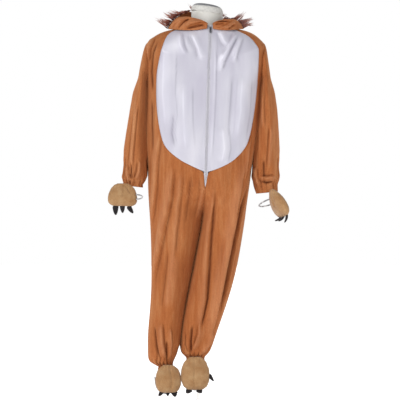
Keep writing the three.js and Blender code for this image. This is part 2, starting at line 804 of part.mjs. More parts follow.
// The middle of the mane's strip at u, with its directions: along the rim, up out of it, and wide.
function stripPlace(side, u) {
  const place = ((hoodAcross[0] - u) / (hoodAcross[0] - hoodAcross.at(-1))) * HOOD_COLUMNS;
  const i = Math.min(HOOD_COLUMNS - 1, Math.floor(place));
  const [start, end] = [hoodPoint(side, hoodAcross[i], 1), hoodPoint(side, hoodAcross[i + 1], 1)];
  const below = hoodPoint(side, hoodAcross[i], BELOW_RIM);
  below.lerp(hoodPoint(side, hoodAcross[i + 1], BELOW_RIM), place - i);
  const run = end.clone().sub(start).normalize();
  const rim = start.lerp(end, place - i);
  const up = rim.clone().sub(below).normalize();
  const wide = up.clone().cross(run).normalize().multiplyScalar(side);
  return { middle: rim.addScaledVector(up, MANE_STRIP.gap + MANE_STRIP.thickness / 2), run, up, wide };
}

function maneBacking(side) {
  const { width, thickness, from, to } = MANE_STRIP;
  const corners = [
    [1, 1],
    [-1, 1],
    [-1, -1],
    [1, -1],
  ];
  const rings = steps(from, to, STRIP_STEPS).map((u) => {
    const { middle, up, wide } = stripPlace(side, u);
    return corners.map(([a, b]) =>
      middle
        .clone()
        .addScaledVector(wide, (a * width) / 2)
        .addScaledVector(up, (b * thickness) / 2),
    );
  });
  return solid(loft(rings));
}

// One lock: three sides, thickest near the root, with its tip drooping a little.
function lock(side, i) {
  const u = mix(MANE_STRIP.from - 0.02, MANE_STRIP.to + 0.02, (i + 0.5) / LOCKS);
  const { middle, run, up, wide } = stripPlace(side, u);
  const row = LOCK_ROWS[i % LOCK_ROWS.length];
  const out = vector(middle.x, middle.y, 0).normalize();
  const grow = up.clone().multiplyScalar(mix(0.9, 0.35, u)).addScaledVector(out, row.flare);
  grow.addScaledVector(run, 0.12 * scatter(i + 11)).normalize();
  grow.addScaledVector(up, Math.max(0, LEAST_LIFT - grow.dot(up))).normalize();
  const lying = smooth((LYING.from - u) / (LYING.from - LYING.to));
  grow.lerp(out.setZ(LYING.rise).normalize(), lying).normalize();
  const length = LOCK_LENGTH * (1 + 0.2 * scatter(i + 29));
  const root = middle.addScaledVector(wide, row.place);
  const sideways = run.clone().addScaledVector(grow, -grow.dot(run)).normalize();
  const other = grow.clone().cross(sideways);
  const ring = (distance, radius, droop) =>
    steps(0, 2 * Math.PI, 3)
      .slice(0, -1)
      .map((angle) => {
        const point = root.clone().addScaledVector(grow, distance);
        point.z -= droop;
        return point
          .addScaledVector(sideways, radius * Math.cos(angle))
          .addScaledVector(other, radius * Math.sin(angle));
      });
  const rings = [ring(0.4, LOCK_ROOT, 0), ring(length * 0.45, 0.9 * LOCK_ROOT, -2), ring(length, 0.5, 4)];
  return solid(loft(rings));
}

function mane(side) {
  const locks = Array.from({ length: LOCKS }, (_, i) => lock(side, i));
  return geometryOf(wasm.Manifold.union([maneBacking(side), ...locks]));
}

for (const [side, word] of [
  [-1, "left"],
  [1, "right"],
]) {
  add("hood_flap_" + word, hoodFlap(side, FLAPS[word]), "plush");
  add("hood_" + word, hoodHalf(side), "plush");
  add("mane_" + word, mane(side), "fur");
}

// ---- Stuffed paw and foot covers, with felt claws and elastic ----
const PAD_COLUMNS = 12;
const padTable = (rows) => table(["down", "half", "front", "back"], rows);
const PADS = {
  paw_left: {
    top: vector(-330, -48, 893),
    down: vector(-0.03, 0, -1),
    across: vector(1, 0, 0),
    rows: padTable([
      [0, 22, 3, 3],
      [7, 36, 7, 5],
      [20, 49, 14, 8],
      [38, 57, 20, 17],
      [58, 61, 23, 22],
      [74, 60, 21, 20],
      [85, 53, 14, 14],
      [91, 40, 5, 5],
    ]),
  },
  paw_right: {
    top: vector(262, -66, 866),
    down: vector(0.46, 0, -0.89),
    across: vector(0.36, -0.9, 0.19),
    rows: padTable([
      [0, 14, 3, 3],
      [9, 23, 8, 6],
      [26, 38, 16, 14],
      [48, 50, 21, 20],
      [72, 56, 23, 22],
      [94, 54, 22, 20],
      [108, 46, 15, 14],
      [116, 34, 5, 5],
    ]),
  },
  foot_left: {
    top: vector(-149, -50, 163),
    down: vector(0, 0, -1),
    across: vector(1, 0, 0),
    rows: padTable([
      [0, 19, 3, 3],
      [7, 30, 8, 5],
      [17, 41, 13, 7],
      [34, 47, 20, 19],
      [56, 50, 24, 26],
      [78, 48, 24, 26],
      [95, 41, 16, 18],
      [103, 30, 6, 6],
    ]),
  },
  foot_right: {
    top: vector(-41, -50, 195),
    down: vector(0, 0, -1),
    across: vector(1, 0, 0),
    rows: padTable([
      [0, 21, 3, 3],
      [8, 33, 8, 5],
      [19, 44, 13, 7],
      [42, 53, 21, 20],
      [68, 56, 25, 26],
      [92, 54, 25, 26],
      [112, 46, 17, 18],
      [123, 32, 6, 6],
    ]),
  },
};

// A pad's own directions: run down its length, across it, and out of its front.
function padAxes(pad) {
  const run = pad.down.clone().normalize();
  const across = pad.across.clone().addScaledVector(run, -pad.across.dot(run)).normalize();
  return { run, across, out: across.clone().cross(run).normalize() };
}

// A point on a pad: down in millimetres, turn 0 at the +across edge and then round the back.
function padPoint(pad, down, turn, lift = 0) {
  const at = (column) => rowAt(pad.rows, column, "down", down);
  const { run, across, out } = padAxes(pad);
  const depth = Math.sin(turn) < 0 ? at("front") : at("back");
  return pad.top
    .clone()
    .addScaledVector(run, down)
    .addScaledVector(across, (at("half") + lift) * Math.cos(turn))
    .addScaledVector(out, -(depth + lift) * Math.sin(turn));
}

function padSolid(pad) {
  const turns = steps(0, 2 * Math.PI, PAD_COLUMNS).slice(0, -1);
  return loft(pad.rows.map(({ down }) => turns.map((turn) => padPoint(pad, down, turn))));
}

// A claw of two stitched layers of felt: broad at the root, curved and pointed.
function claw(root, tip, width, flat) {
  const run = tip.clone().sub(root).normalize();
  const side = flat.clone().addScaledVector(run, -flat.dot(run)).normalize();
  const out = side.clone().cross(run);
  const rings = steps(0, 1, 3).map((t) => {
    const centre = root.clone().lerp(tip, t).addScaledVector(out, CLAW_BEND * Math.sin(Math.PI * t));
    const scale = Math.sqrt(1 - 0.96 * t);
    return steps(0, 2 * Math.PI, 6)
      .slice(0, -1)
      .map((turn) =>
        centre
          .clone()
          .addScaledVector(side, (width / 2) * scale * Math.cos(turn))
          .addScaledVector(out, (CLAW_THICKNESS / 2) * scale * Math.sin(turn)),
      );
  });
  return loft(rings);
}
const CLAW_THICKNESS = 7;
const CLAW_BEND = 2.5;
// Each claw's root on its pad's own axes, its width, and how far its tip lies from the root. turned
// is 1 where its width runs down the pad's edge and 0 where it runs across the pad's end.
const clawTable = (rows) =>
  table(["across", "down", "ahead", "width", "turned", "dx", "dy", "dz"], rows);
const CLAWS = {
  paw_left: clawTable([
    [-29, 95, 0, 27, 0, 3, -8, -31],
    [0, 95, -4, 24, 0, 1, 16, -22],
    [28, 97.5, 0, 22, 0, 14, -6, -20],
  ]),
  paw_right: clawTable([
    [24, 121, 2, 20, 0, -12, -8, -26],
    [0, 121, 0, 20, 0, -24, -2, -16],
    [-24, 120, -3, 20, 0, -26, 6, -10],
  ]),
  foot_left: clawTable([
    [-27, 107, 0, 20, 0, -10, -8, -12],
    [-2, 107, -3, 20, 0, 0, 4, -12],
    [24, 107, 2, 28, 0, 3, -10, -15],
  ]),
  foot_right: clawTable([
    [-24, 129, 1, 30, 0, -10, -9, -11],
    [16, 129, 1, 30, 0, 8, -10, -10],
    [62.5, 70, -2, 18, 1, 10, -8, -22],
  ]),
};

// Elastic: a flat band bent round through the points given, its ends just clear of the pad.
const BAND_THICKNESS = 1.5;
const BANDS = {
  hand_loop_left: { pad: "paw_left", width: 8, ends: [0.5, 0.5], at: [44, 62], reach: [24, 0, 0] },
  hand_loop_right: {
    pad: "paw_right",
    width: 8,
    ends: [3.0, 3.0],
    at: [30, 52],
    reach: [-46, 0, -16],
  },
};
// Foot straps hang in a U behind and under the foot, from the pad's back.
const STRAPS = table(
  ["name", "pad", "from", "bottom", "left", "right"],
  [
    ["foot_strap_left", "foot_left", 46, 113, -54, 38],
    ["foot_strap_right", "foot_right", 64, 131, -44, 44],
  ],
);
const STRAP_WIDTH = 13;
const STRAP_BACK = 28; // how far behind the pad's middle the strap hangs

for (const [name, pad] of Object.entries(PADS)) {
  add(name, padSolid(pad), "paw");
  CLAWS[name].forEach((row, i) => {
    const { run, across, out } = padAxes(pad);
    const root = pad.top.clone().addScaledVector(across, row.across);
    root.addScaledVector(run, row.down).addScaledVector(out, row.ahead);
    const tip = root.clone().add(vector(row.dx, row.dy, row.dz));
    const flat = row.turned ? run : across;
    add(name + "_claw_" + (i + 1), claw(root, tip, row.width, flat), "felt");
  });
}
for (const [name, loop] of Object.entries(BANDS)) {
  const pad = PADS[loop.pad];
  const [from, to] = loop.at.map((down, i) => padPoint(pad, down, loop.ends[i], 4));
  const reach = vector(...loop.reach);
  const points = steps(0, Math.PI, 8).map((angle) =>
    from
      .clone()
      .lerp(to, (1 - Math.cos(angle)) / 2)
      .addScaledVector(reach, Math.sin(angle)),
  );
  add(name, band(points, vector(0, 1, 0), loop.width, BAND_THICKNESS), "elastic");
}
for (const { name, pad: padName, from, bottom, left, right } of STRAPS) {
  const { top } = PADS[padName];
  const points = steps(Math.PI, 0, 10).map((angle) =>
    vector(
      top.x + (left + right) / 2 + ((right - left) / 2) * Math.cos(angle),
      top.y + STRAP_BACK,
      top.z - from - (bottom - from) * Math.sin(angle) ** 0.7,
    ),
  );
  add(name, band(points, vector(0, 1, 0), STRAP_WIDTH, BAND_THICKNESS), "elastic");
}

// ---- The dress form and its stand ----
const FORM = table(
  ["z", "middle", "half", "front", "back"],
  [
    [852, 0, 120, 78, 78],
    [856, 0, 140, 92, 90],
    [872, 0, 150, 99, 97],
    [930, 0, 156, 104, 99],
    [1010, 0, 148, 102, 94],
    [1090, 2, 140, 100, 90],
    [1180, 3, 148, 106, 92],
    [1270, 4, 162, 112, 98],
    [1350, 4, 178, 108, 98],
    [1410, 4, 188, 98, 92],
    [1446, 4, 190, 84, 82],
    [1470, 4, 180, 70, 70],
    [1486, 4, 154, 60, 62],
    [1497, 5, 118, 57, 58],
    [1506, 6, 88, 56, 57],
    [1518, 6.5, 70, 55, 56],
    [1536, 6.5, 65, 54, 55],
    [1585, 6.5, 64, 53, 54],
  ],
);
const FORM_COLUMNS = 20;
const NECK_CAP = table(
  ["rise", "scale"],
  [
    [0, 1.02],
    [7, 1.02],
    [9, 0.99],
    [14, 0.93],
    [18, 0.82],
    [21, 0.62],
    [22.5, 0.34],
  ],
);
const CAP_TILT = 0.1; // the cap leans down to the right
const BASE = { radius: 200, thickness: 12, edge: 3 };
const POLE = { radius: 8, foot: vector(-30, 0, 12.4), top: vector(4, 0, 851.4) };

const ellipse = (middle, half, front, back, z, count) =>
  steps(0, 2 * Math.PI, count)
    .slice(0, -1)
    .map((turn) => {
      const depth = Math.sin(turn) < 0 ? front : back;
      return vector(middle + half * Math.cos(turn), depth * Math.sin(turn), z);
    });
add(
  "form_torso",
  loft(FORM.map((row) => ellipse(row.middle, row.half, row.front, row.back, row.z, FORM_COLUMNS))),
  "form",
);
const neckTop = FORM.at(-1);
const cap = add(
  "neck_cap",
  loft(
    NECK_CAP.map(({ rise, scale }) =>
      ellipse(0, neckTop.half * scale, neckTop.front * scale, neckTop.back * scale, rise, FORM_COLUMNS),
    ),
  ),
  "form",
);
cap.position.set(neckTop.middle, 0, neckTop.z + neckTop.half * Math.sin(CAP_TILT) + SEAM);
cap.rotation.y = CAP_TILT;

const lean = POLE.top.clone().sub(POLE.foot);
const pole = new THREE.CylinderGeometry(POLE.radius, POLE.radius, lean.length(), 16);
add("stand_pole", merged(pole), "steel");
costume.children.at(-1).position.copy(POLE.foot).addScaledVector(lean, 0.5);
costume.children.at(-1).quaternion.setFromUnitVectors(vector(0, 1, 0), lean.normalize());

const baseProfile = [
  [0, 0],
  [BASE.radius, 0],
  [BASE.radius, BASE.thickness - BASE.edge],
  [BASE.radius - BASE.edge, BASE.thickness],
  [0, BASE.thickness],
].map(([r, z]) => new THREE.Vector2(r, z));
const base = add("stand_base", merged(new THREE.LatheGeometry(baseProfile, 36)), "steel");
base.rotation.x = Math.PI / 2;
base.position.set(POLE.foot.x, 0, 0);

// The base's centre is the origin.
costume.position.x = -POLE.foot.x;

export default costume;
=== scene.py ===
"""The looks of a plush lion costume on a dress form stand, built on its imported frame.

Metres, +Z up. The costume faces -Y, and "left" is the side at -X. Tables give millimetres.
"""

import math
import random
from collections import namedtuple

import bmesh
import bpy
import numpy as np
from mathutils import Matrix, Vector, kdtree


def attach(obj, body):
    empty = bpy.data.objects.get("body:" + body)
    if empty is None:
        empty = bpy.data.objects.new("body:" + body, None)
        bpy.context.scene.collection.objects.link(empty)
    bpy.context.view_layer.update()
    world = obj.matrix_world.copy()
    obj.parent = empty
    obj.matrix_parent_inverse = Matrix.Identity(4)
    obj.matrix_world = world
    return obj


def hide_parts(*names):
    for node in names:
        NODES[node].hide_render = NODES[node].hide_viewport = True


MM = 0.001
SIDES = ("left", "right")

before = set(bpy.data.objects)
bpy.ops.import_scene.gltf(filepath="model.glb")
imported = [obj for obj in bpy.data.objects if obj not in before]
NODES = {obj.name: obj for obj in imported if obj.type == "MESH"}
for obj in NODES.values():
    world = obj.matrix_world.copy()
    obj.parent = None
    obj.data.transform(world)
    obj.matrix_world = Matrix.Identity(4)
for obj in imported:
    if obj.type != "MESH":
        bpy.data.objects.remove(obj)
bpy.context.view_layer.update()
WORN = "costume"  # the body that everything but the pull tab belongs to


# ---- Camera, floor and light ----
VIEW_SIZE = 1.6  # what the frame takes in at the costume, across and up
VIEW_CENTRE = (0.008, -0.05, 0.826)
VIEW_DISTANCE = 14.0
VIEW_REACH = 80  # past the far edge of the floor
SENSOR = 36.0


def add_camera():
    lens = bpy.data.cameras.new("camera")
    lens.sensor_width = SENSOR
    lens.lens = SENSOR * VIEW_DISTANCE / VIEW_SIZE
    lens.clip_end = VIEW_REACH
    camera = bpy.data.objects.new("camera", lens)
    x, y, z = VIEW_CENTRE
    camera.location = (x, y - VIEW_DISTANCE, z)
    camera.rotation_euler = (math.pi / 2, 0, 0)
    bpy.context.collection.objects.link(camera)
    bpy.context.scene.camera = camera


SKY = 0.34  # how much light the white surroundings give
KEY_FROM = (-0.85, -0.95, 0.8)  # the large soft key light, so far off that it is the same all over
KEY_STRENGTH = 1.75
KEY_SOFTNESS = math.radians(16)
FILL_FROM = (3.0, -2.6, 1.6)
FILL_WATTS = 26
FILL_SIZE = 2.2
FILL_AIM = 0.9  # the height that the fill points at
FLOOR_SIZE = 60
FLOOR_GLOW = 0.75


def add_stage():
    key = bpy.data.lights.new("key", "SUN")
    key.energy = KEY_STRENGTH
    key.angle = KEY_SOFTNESS
    fill = bpy.data.lights.new("fill", "AREA")
    fill.energy = FILL_WATTS
    fill.size = FILL_SIZE
    for lamp, place in ((key, KEY_FROM), (fill, FILL_FROM)):
        holder = bpy.data.objects.new(lamp.name, lamp)
        holder.location = place
        aim = Vector((0, 0, FILL_AIM if lamp is fill else 0)) - Vector(place)
        holder.rotation_euler = aim.to_track_quat("-Z", "Y").to_euler()
        bpy.context.collection.objects.link(holder)
    world = bpy.data.worlds.new("white_room")
    world.use_nodes = True
    tree = world.node_tree
    sky = tree.nodes["Background"]
    sky.inputs["Color"].default_value = (1, 1, 1, 1)
    seen = node(tree, "LightPath").outputs["Is Camera Ray"]
    strength = node(tree, "MapRange", {"To Min": SKY, "To Max": 1.0}, {"Value": seen})
    tree.links.new(strength.outputs[0], sky.inputs["Strength"])
    bpy.context.scene.world = world
    bpy.context.scene.view_settings.view_transform = "Standard"
    bpy.ops.mesh.primitive_plane_add(size=FLOOR_SIZE)
    floor = bpy.context.object
    floor.name = "floor"
    floor.data.materials.append(painted_board())


# ---- Materials ----
# A pattern's size is its real one, except that pile, wales, knit, twill and fibres, which are
# really 0.3 to 1 mm across, are drawn 1.1 to 2.4 mm across so that they show.
def linear(colour):
    """An sRGB hex colour as linear red, green, blue and alpha."""
    channels = [int(colour[i : i + 2], 16) / 255 for i in (0, 2, 4)]
    return (*[c / 12.92 if c <= 0.04045 else ((c + 0.055) / 1.055) ** 2.4 for c in channels], 1)


def node(tree, kind, settings=None, links=None):
    """Adds a shader node. A setting is an attribute or an input, and a link goes into an input."""
    made = tree.nodes.new("ShaderNode" + kind)
    for name, value in (settings or {}).items():
        if isinstance(name, str) and hasattr(made, name):
            setattr(made, name, value)
        else:
            made.inputs[name].default_value = value
    for name, source in (links or {}).items():
        tree.links.new(source, made.inputs[name])
    return made


def new_material(name, colour, roughness, **shader):
    """A material with its shader, and the tree and shader to build on."""
    material = bpy.data.materials.new(name)
    material.use_nodes = True
    tree = material.node_tree
    surface = tree.nodes["Principled BSDF"]
    surface.inputs["Base Color"].default_value = linear(colour)
    surface.inputs["Roughness"].default_value = roughness
    for key, value in shader.items():
        surface.inputs[key.replace("_", " ")].default_value = value
    return material, tree, surface


def pattern(tree, scale, size, detail=2.0, roughness=0.5, distortion=0.0):
    """Noise on Object coordinates. size is one feature in metres, scale stretches it per axis."""
    place = node(tree, "TexCoord").outputs["Object"]
    stretch = node(tree, "Mapping", {"Scale": scale}, {"Vector": place})
    settings = {"Scale": 1 / size, "Detail": detail, "Roughness": roughness, "Distortion": distortion}
    return node(tree, "TexNoise", settings, {"Vector": stretch.outputs[0]}).outputs["Fac"]


def ramp(tree, source, stops):
    """A colour ramp through (place, colour) stops."""
    made = node(tree, "ValToRGB", None, {"Fac": source})
    elements = made.color_ramp.elements
    while len(elements) < len(stops):
        elements.new(0.5)
    for element, (place, colour) in zip(elements, stops):
        element.position = place
        element.color = linear(colour)
    return made.outputs["Color"]


def blend_colours(tree, amount, first, second, mode="MIX"):
    """Mixes two colours. amount is a number or another node's output."""
    made = node(tree, "Mix", {"data_type": "RGBA", "blend_type": mode})
    if isinstance(amount, float):
        made.inputs[0].default_value = amount
    else:
        tree.links.new(amount, made.inputs[0])
    tree.links.new(first, made.inputs[6])
    tree.links.new(second, made.inputs[7])
    return made.outputs[2]


def bump(tree, surface, layers):
    """Bump layers of (height source, distance in metres, strength), each on the one before."""
    normal = None
    for height, distance, strength in layers:
        links = {"Height": height}
        if normal is not None:
            links["Normal"] = normal
        normal = node(tree, "Bump", {"Distance": distance, "Strength": strength}, links).outputs[0]
    tree.links.new(normal, surface.inputs["Normal"])


def paint_fold_shade_and_highlight(tree, colour, dark, light):
    """Paints light and shade into a colour by how the cloth lies: painted shade in its troughs, painted
    highlight along its ridges.
    """
    crest = node(tree, "Attribute", {"attribute_name": "crest"}).outputs["Fac"]
    # painted shade: the colour is darkened towards the folds' troughs
    tint = ramp(tree, crest, [(0.0, dark), (0.5, "FFFFFF")])
    # painted highlight: pale light is added along the folds' ridges
    gloss = ramp(tree, crest, [(0.55, "000000"), (1.0, light)])
    deep = blend_colours(tree, 1.0, colour, tint, "MULTIPLY")
    return blend_colours(tree, 1.0, deep, gloss, "ADD")


PILE = 2.4 * MM  # tufts of the velour's pile, drawn coarse enough to show
STREAK = 14 * MM  # width of the streaks where the nap has been stroked another way
PATCH = 130 * MM  # patches of brushed nap


def velour():
    """Polyester velour: a dense short pile, matt face on, that glows where it turns away."""
    material, tree, surface = new_material(
        "orange_brown_velour",
        "B46E3E",
        0.85,
        Sheen_Weight=0.42,
        Sheen_Roughness=0.42,
        Sheen_Tint=linear("F0B98A"),
        Specular_IOR_Level=0.15,
    )
    patches = pattern(tree, (1, 1, 0.35), PATCH, detail=3)
    streaks = pattern(tree, (1, 1, 0.09), STREAK, detail=3, roughness=0.6)
    pile = pattern(tree, (1, 1, 0.6), PILE, detail=2)
    broad = ramp(tree, patches, [(0.3, "9E582D"), (0.52, "AB6637"), (0.72, "B97B4E")])
    fine = ramp(tree, streaks, [(0.3, "914E28"), (0.5, "AA6439"), (0.74, "C08456")])
    colour = blend_colours(tree, 0.42, broad, fine)
    grain = ramp(tree, pile, [(0.3, "D8D8D8"), (0.7, "FFFFFF")])
    napped = blend_colours(tree, 0.8, colour, grain, "MULTIPLY")
    # painted shade in the fold troughs, and painted highlight along the ridges and their crest lines
    tree.links.new(paint_fold_shade_and_highlight(tree, napped, "A39084", "40382E"), surface.inputs["Base Color"])
    bump(tree, surface, [(streaks, 1.2 * MM, 0.35), (pile, 0.8 * MM, 0.5)])
    return material


def shiny_tricot():
    """Brushed polyester tricot, white with a lilac cast: a smooth face with long soft glints, partly
    painted as highlight along its ridges, and painted shade in its fold troughs.
    """
    material, tree, surface = new_material(
        "lilac_white_tricot",
        "D9D6E2",
        0.38,
        Sheen_Weight=0.25,
        Sheen_Roughness=0.35,
        Specular_IOR_Level=0.5,
    )
    drape = pattern(tree, (1, 1, 0.22), 55 * MM, detail=2)
    wales = pattern(tree, (1, 1, 0.08), 1.6 * MM, detail=1)
    colour = ramp(tree, drape, [(0.3, "B4B1BE"), (0.55, "BDBBC6"), (0.75, "C7C5CE")])
    # painted shade in the fold troughs, and painted glints along the ridges
    tree.links.new(paint_fold_shade_and_highlight(tree, colour, "C4C3C8", "646466"), surface.inputs["Base Color"])
    glint = node(tree, "MapRange", {"To Min": 0.3, "To Max": 0.48}, {"Value": drape})
    tree.links.new(glint.outputs[0], surface.inputs["Roughness"])
    bump(tree, surface, [(drape, 3 * MM, 0.3), (wales, 0.3 * MM, 0.25)])
    return material


def long_pile():
    """Acrylic fur: glossy fibres, painted darker at their roots as the shade among the crowded strands, and
    paler towards their tips.
    """
    material, tree, surface = new_material("reddish_fur", "8A4634", 0.45, Sheen_Weight=0.2)
    along = node(tree, "Attribute", {"attribute_name": "along"}).outputs["Fac"]
    tone = pattern(tree, (1, 1, 1), 14 * MM, detail=2)
    # painted shade: each strand darkens towards its root, where the strands crowd, and pales towards its
    # tip
    length = ramp(tree, along, [(0.0, "7A3C2C"), (0.3, "AC6450"), (0.7, "C69080"), (1.0, "D6BCB3")])
    tint = ramp(tree, tone, [(0.3, "B08078"), (0.7, "FFFFFF")])
    tree.links.new(blend_colours(tree, 0.7, length, tint, "MULTIPLY"), surface.inputs["Base Color"])
    return material


def brushed_plush():
    """Short brushed plush over filling: matt, with a faint speckle where the pile parts."""
    material, tree, surface = new_material(
        "tan_brushed_plush", "B38A62", 0.9, Sheen_Weight=0.3, Specular_IOR_Level=0.15
    )
    cloud = pattern(tree, (1, 1, 1), 30 * MM, detail=3)
    pile = pattern(tree, (1, 1, 1), 1.8 * MM, detail=2)
    broad = ramp(tree, cloud, [(0.3, "A0764D"), (0.55, "AC855C"), (0.75, "B69269")])
    grain = ramp(tree, pile, [(0.3, "D2D2D2"), (0.7, "FFFFFF")])
    tree.links.new(blend_colours(tree, 0.8, broad, grain, "MULTIPLY"), surface.inputs["Base Color"])
    bump(tree, surface, [(cloud, 1.5 * MM, 0.3), (pile, 0.7 * MM, 0.5)])
    return material


def pressed_felt():
    """Black wool felt: matted fibres that catch a little grey light."""
    material, tree, surface = new_material(
        "black_felt", "1A1618", 0.95, Sheen_Weight=0.25, Specular_IOR_Level=0.2
    )
    fibres = pattern(tree, (1, 1, 1), 1.2 * MM, detail=4, roughness=0.7, distortion=1.5)
    tree.links.new(
        ramp(tree, fibres, [(0.35, "100D0E"), (0.7, "2E292B")]), surface.inputs["Base Color"]
    )
    bump(tree, surface, [(fibres, 0.6 * MM, 0.6)])
    return material


RIB = 1.5 * MM  # spacing of the elastic's ribs


def woven_elastic():
    """Ribbed elastic: pale yarn drawn over rubber cores, dull in the furrows."""
    material, tree, surface = new_material("grey_elastic", "C4C1C0", 0.7, Sheen_Weight=0.15)
    place = node(tree, "TexCoord").outputs["Object"]
    bands = {"bands_direction": "Y", "Scale": 1 / (math.pi * RIB), "Distortion": 0.4}
    ribs = node(tree, "TexWave", bands, {"Vector": place}).outputs["Fac"]
    tree.links.new(
        ramp(tree, ribs, [(0.0, "7C7A7B"), (0.5, "A3A1A2"), (1.0, "C2C0C0")]),
        surface.inputs["Base Color"],
    )
    bump(tree, surface, [(ribs, 0.5 * MM, 0.6)])
    return material


def twill_tape():
    """Cotton zip tape: a close herringbone that reads as a matt pale strip."""
    material, tree, surface = new_material("pale_twill_tape", "B9B7BF", 0.8)
    weave = pattern(tree, (1, 1, 2.2), 1.1 * MM, detail=1)
    tree.links.new(
        ramp(tree, weave, [(0.35, "A7A5AD"), (0.65, "C6C4CC")]), surface.inputs["Base Color"]
    )
    bump(tree, surface, [(weave, 0.3 * MM, 0.4)])
    return material


def moulded_nylon():
    """Nylon coil: smooth, slightly translucent grey-white turns."""
    material, tree, surface = new_material("grey_nylon_coil", "75737A", 0.35, IOR=1.53)
    tone = pattern(tree, (1, 1, 1), 9 * MM, detail=1)
    tree.links.new(
        ramp(tree, tone, [(0.3, "66646B"), (0.7, "85838A")]), surface.inputs["Base Color"]
    )
    return material


def enamelled_zinc():
    """Die-cast zinc under thin grey enamel, worn to bright metal along its edges."""
    material, tree, surface = new_material("enamelled_zinc", "4B4B52", 0.32, Metallic=0.75)
    tone = pattern(tree, (1, 1, 1), 3 * MM, detail=3)
    edges = node(tree, "NewGeometry").outputs["Pointiness"]
    worn = ramp(tree, edges, [(0.5, "45454C"), (0.56, "8D8D94")])
    mottle = ramp(tree, tone, [(0.3, "C8C8C8"), (0.7, "FFFFFF")])
    tree.links.new(blend_colours(tree, 0.8, worn, mottle, "MULTIPLY"), surface.inputs["Base Color"])
    return material


def form_jersey():
    """Fine jersey stretched over the form: pale, even, with a soft satin gloss."""
    material, tree, surface = new_material("pale_form_jersey", "D3D1CB", 0.42, Sheen_Weight=0.15)
    tone = pattern(tree, (1, 1, 1), 60 * MM, detail=2)
    knit = pattern(tree, (1, 1, 0.5), 1.4 * MM, detail=1)
    tree.links.new(
        ramp(tree, tone, [(0.3, "CBC9C2"), (0.7, "DAD8D3")]), surface.inputs["Base Color"]
    )
    bump(tree, surface, [(knit, 0.25 * MM, 0.3)])
    return material


def cap_vinyl():
    """Moulded vinyl neck cap: satin white round its side, with its upward faces painted grey as shade, and
    faint scuffs all over.
    """
    material, tree, surface = new_material("neck_cap_vinyl", "D6D4CF", 0.45)
    scuffs = pattern(tree, (1, 1, 1), 6 * MM, detail=4)
    facing = node(tree, "SeparateXYZ", None, {"Vector": node(tree, "NewGeometry").outputs["Normal"]})
    # painted shade: faces that turn upwards are painted grey
    top = ramp(tree, facing.outputs["Z"], [(0.62, "D6D4CF"), (0.8, "838387")])
    scuffed = ramp(tree, scuffs, [(0.35, "DADADA"), (0.7, "FFFFFF")])
    tree.links.new(blend_colours(tree, 0.7, top, scuffed, "MULTIPLY"), surface.inputs["Base Color"])
    bump(tree, surface, [(scuffs, 0.3 * MM, 0.3)])
    return material


def powder_coat():
    """White powder coat on steel: hard and satin, with a faint orange peel, and a painted glow so that it
    shows as white in shade.
    """
    # painted light: the coat glows, so that the stand shows white
    material, tree, surface = new_material(
        "white_powder_coat", "F4F4F2", 0.4, Emission_Color=(1, 1, 1, 1), Emission_Strength=0.3
    )
    peel = pattern(tree, (1, 1, 1), 2.5 * MM, detail=2)
    tree.links.new(
        ramp(tree, peel, [(0.3, "F0F0EE"), (0.7, "FAFAF8")]), surface.inputs["Base Color"]
    )
    bump(tree, surface, [(peel, 0.15 * MM, 0.4)])
    return material


def painted_board():
    """The studio floor: matt white paint, lit from below so that it is as white as the walls."""
    glow = {"Emission_Color": (1, 1, 1, 1), "Emission_Strength": FLOOR_GLOW}
    material, _, _ = new_material("white_floor_paint", "FFFFFF", 0.9, **glow)
    return material


# ---- Pieces made from the frame's own solids ----
WELD = 0.02 * MM  # points closer than this are one
PAIR_ANGLE = 50  # two triangles that meet flatter than this make a quad
RIM_ANGLE = 68  # edges of a cloth wall that are sharper than this are its rims


def copy_of(name, suffix):
    """A copy of a frame node's solid with its doubles merged and its triangles paired to quads."""
    mesh = NODES[name].data.copy()
    mesh.materials.clear()
    shell = bmesh.new()
    shell.from_mesh(mesh)
    bmesh.ops.remove_doubles(shell, verts=shell.verts, dist=WELD)
    bmesh.ops.join_triangles(
        shell,
        faces=shell.faces,
        angle_face_threshold=math.radians(PAIR_ANGLE),
        angle_shape_threshold=math.pi,
    )
    for layer in list(shell.loops.layers.uv):
        shell.loops.layers.uv.remove(layer)
    shell.to_mesh(mesh)
    shell.free()
    piece = bpy.data.objects.new(name + suffix, mesh)
    bpy.context.collection.objects.link(piece)
    return piece


def hold_edges(piece, angle):
    """Creases the edges that are sharper than an angle, so that subdivision keeps them."""
    shell = bmesh.new()
    shell.from_mesh(piece.data)
    crease = shell.edges.layers.float.get("crease_edge") or shell.edges.layers.float.new("crease_edge")
    for edge in shell.edges:
        if len(edge.link_faces) == 2 and edge.calc_face_angle() > math.radians(angle):
            edge[crease] = 1
    shell.to_mesh(piece.data)
    shell.free()


def apply_modifier(piece, kind, **settings):
    """Adds a modifier to a piece and applies it."""
    bpy.ops.object.select_all(action="DESELECT")
    bpy.context.view_layer.objects.active = piece
    piece.select_set(True)
    modifier = piece.modifiers.new(kind.lower(), kind)
    for name, value in settings.items():
        setattr(modifier, name, value)
    bpy.ops.object.modifier_apply(modifier=modifier.name)


def subdivide(piece, levels):
    apply_modifier(piece, "SUBSURF", levels=levels, render_levels=levels)


def smooth_shaded(piece, angle=None):
    """Shades a piece smooth, but for edges sharper than an angle in degrees."""
    bpy.ops.object.select_all(action="DESELECT")
    bpy.context.view_layer.objects.active = piece
    piece.select_set(True)
    if angle is None:
        bpy.ops.object.shade_smooth()
    else:
        bpy.ops.object.shade_smooth_by_angle(angle=math.radians(angle))


def stand_in(piece, name, material, body=WORN):
    """Dresses a piece, sets it riding, and hides the frame node that it stands for."""
    piece.data.materials.clear()
    piece.data.materials.append(material)
    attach(piece, body)
    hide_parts(name)


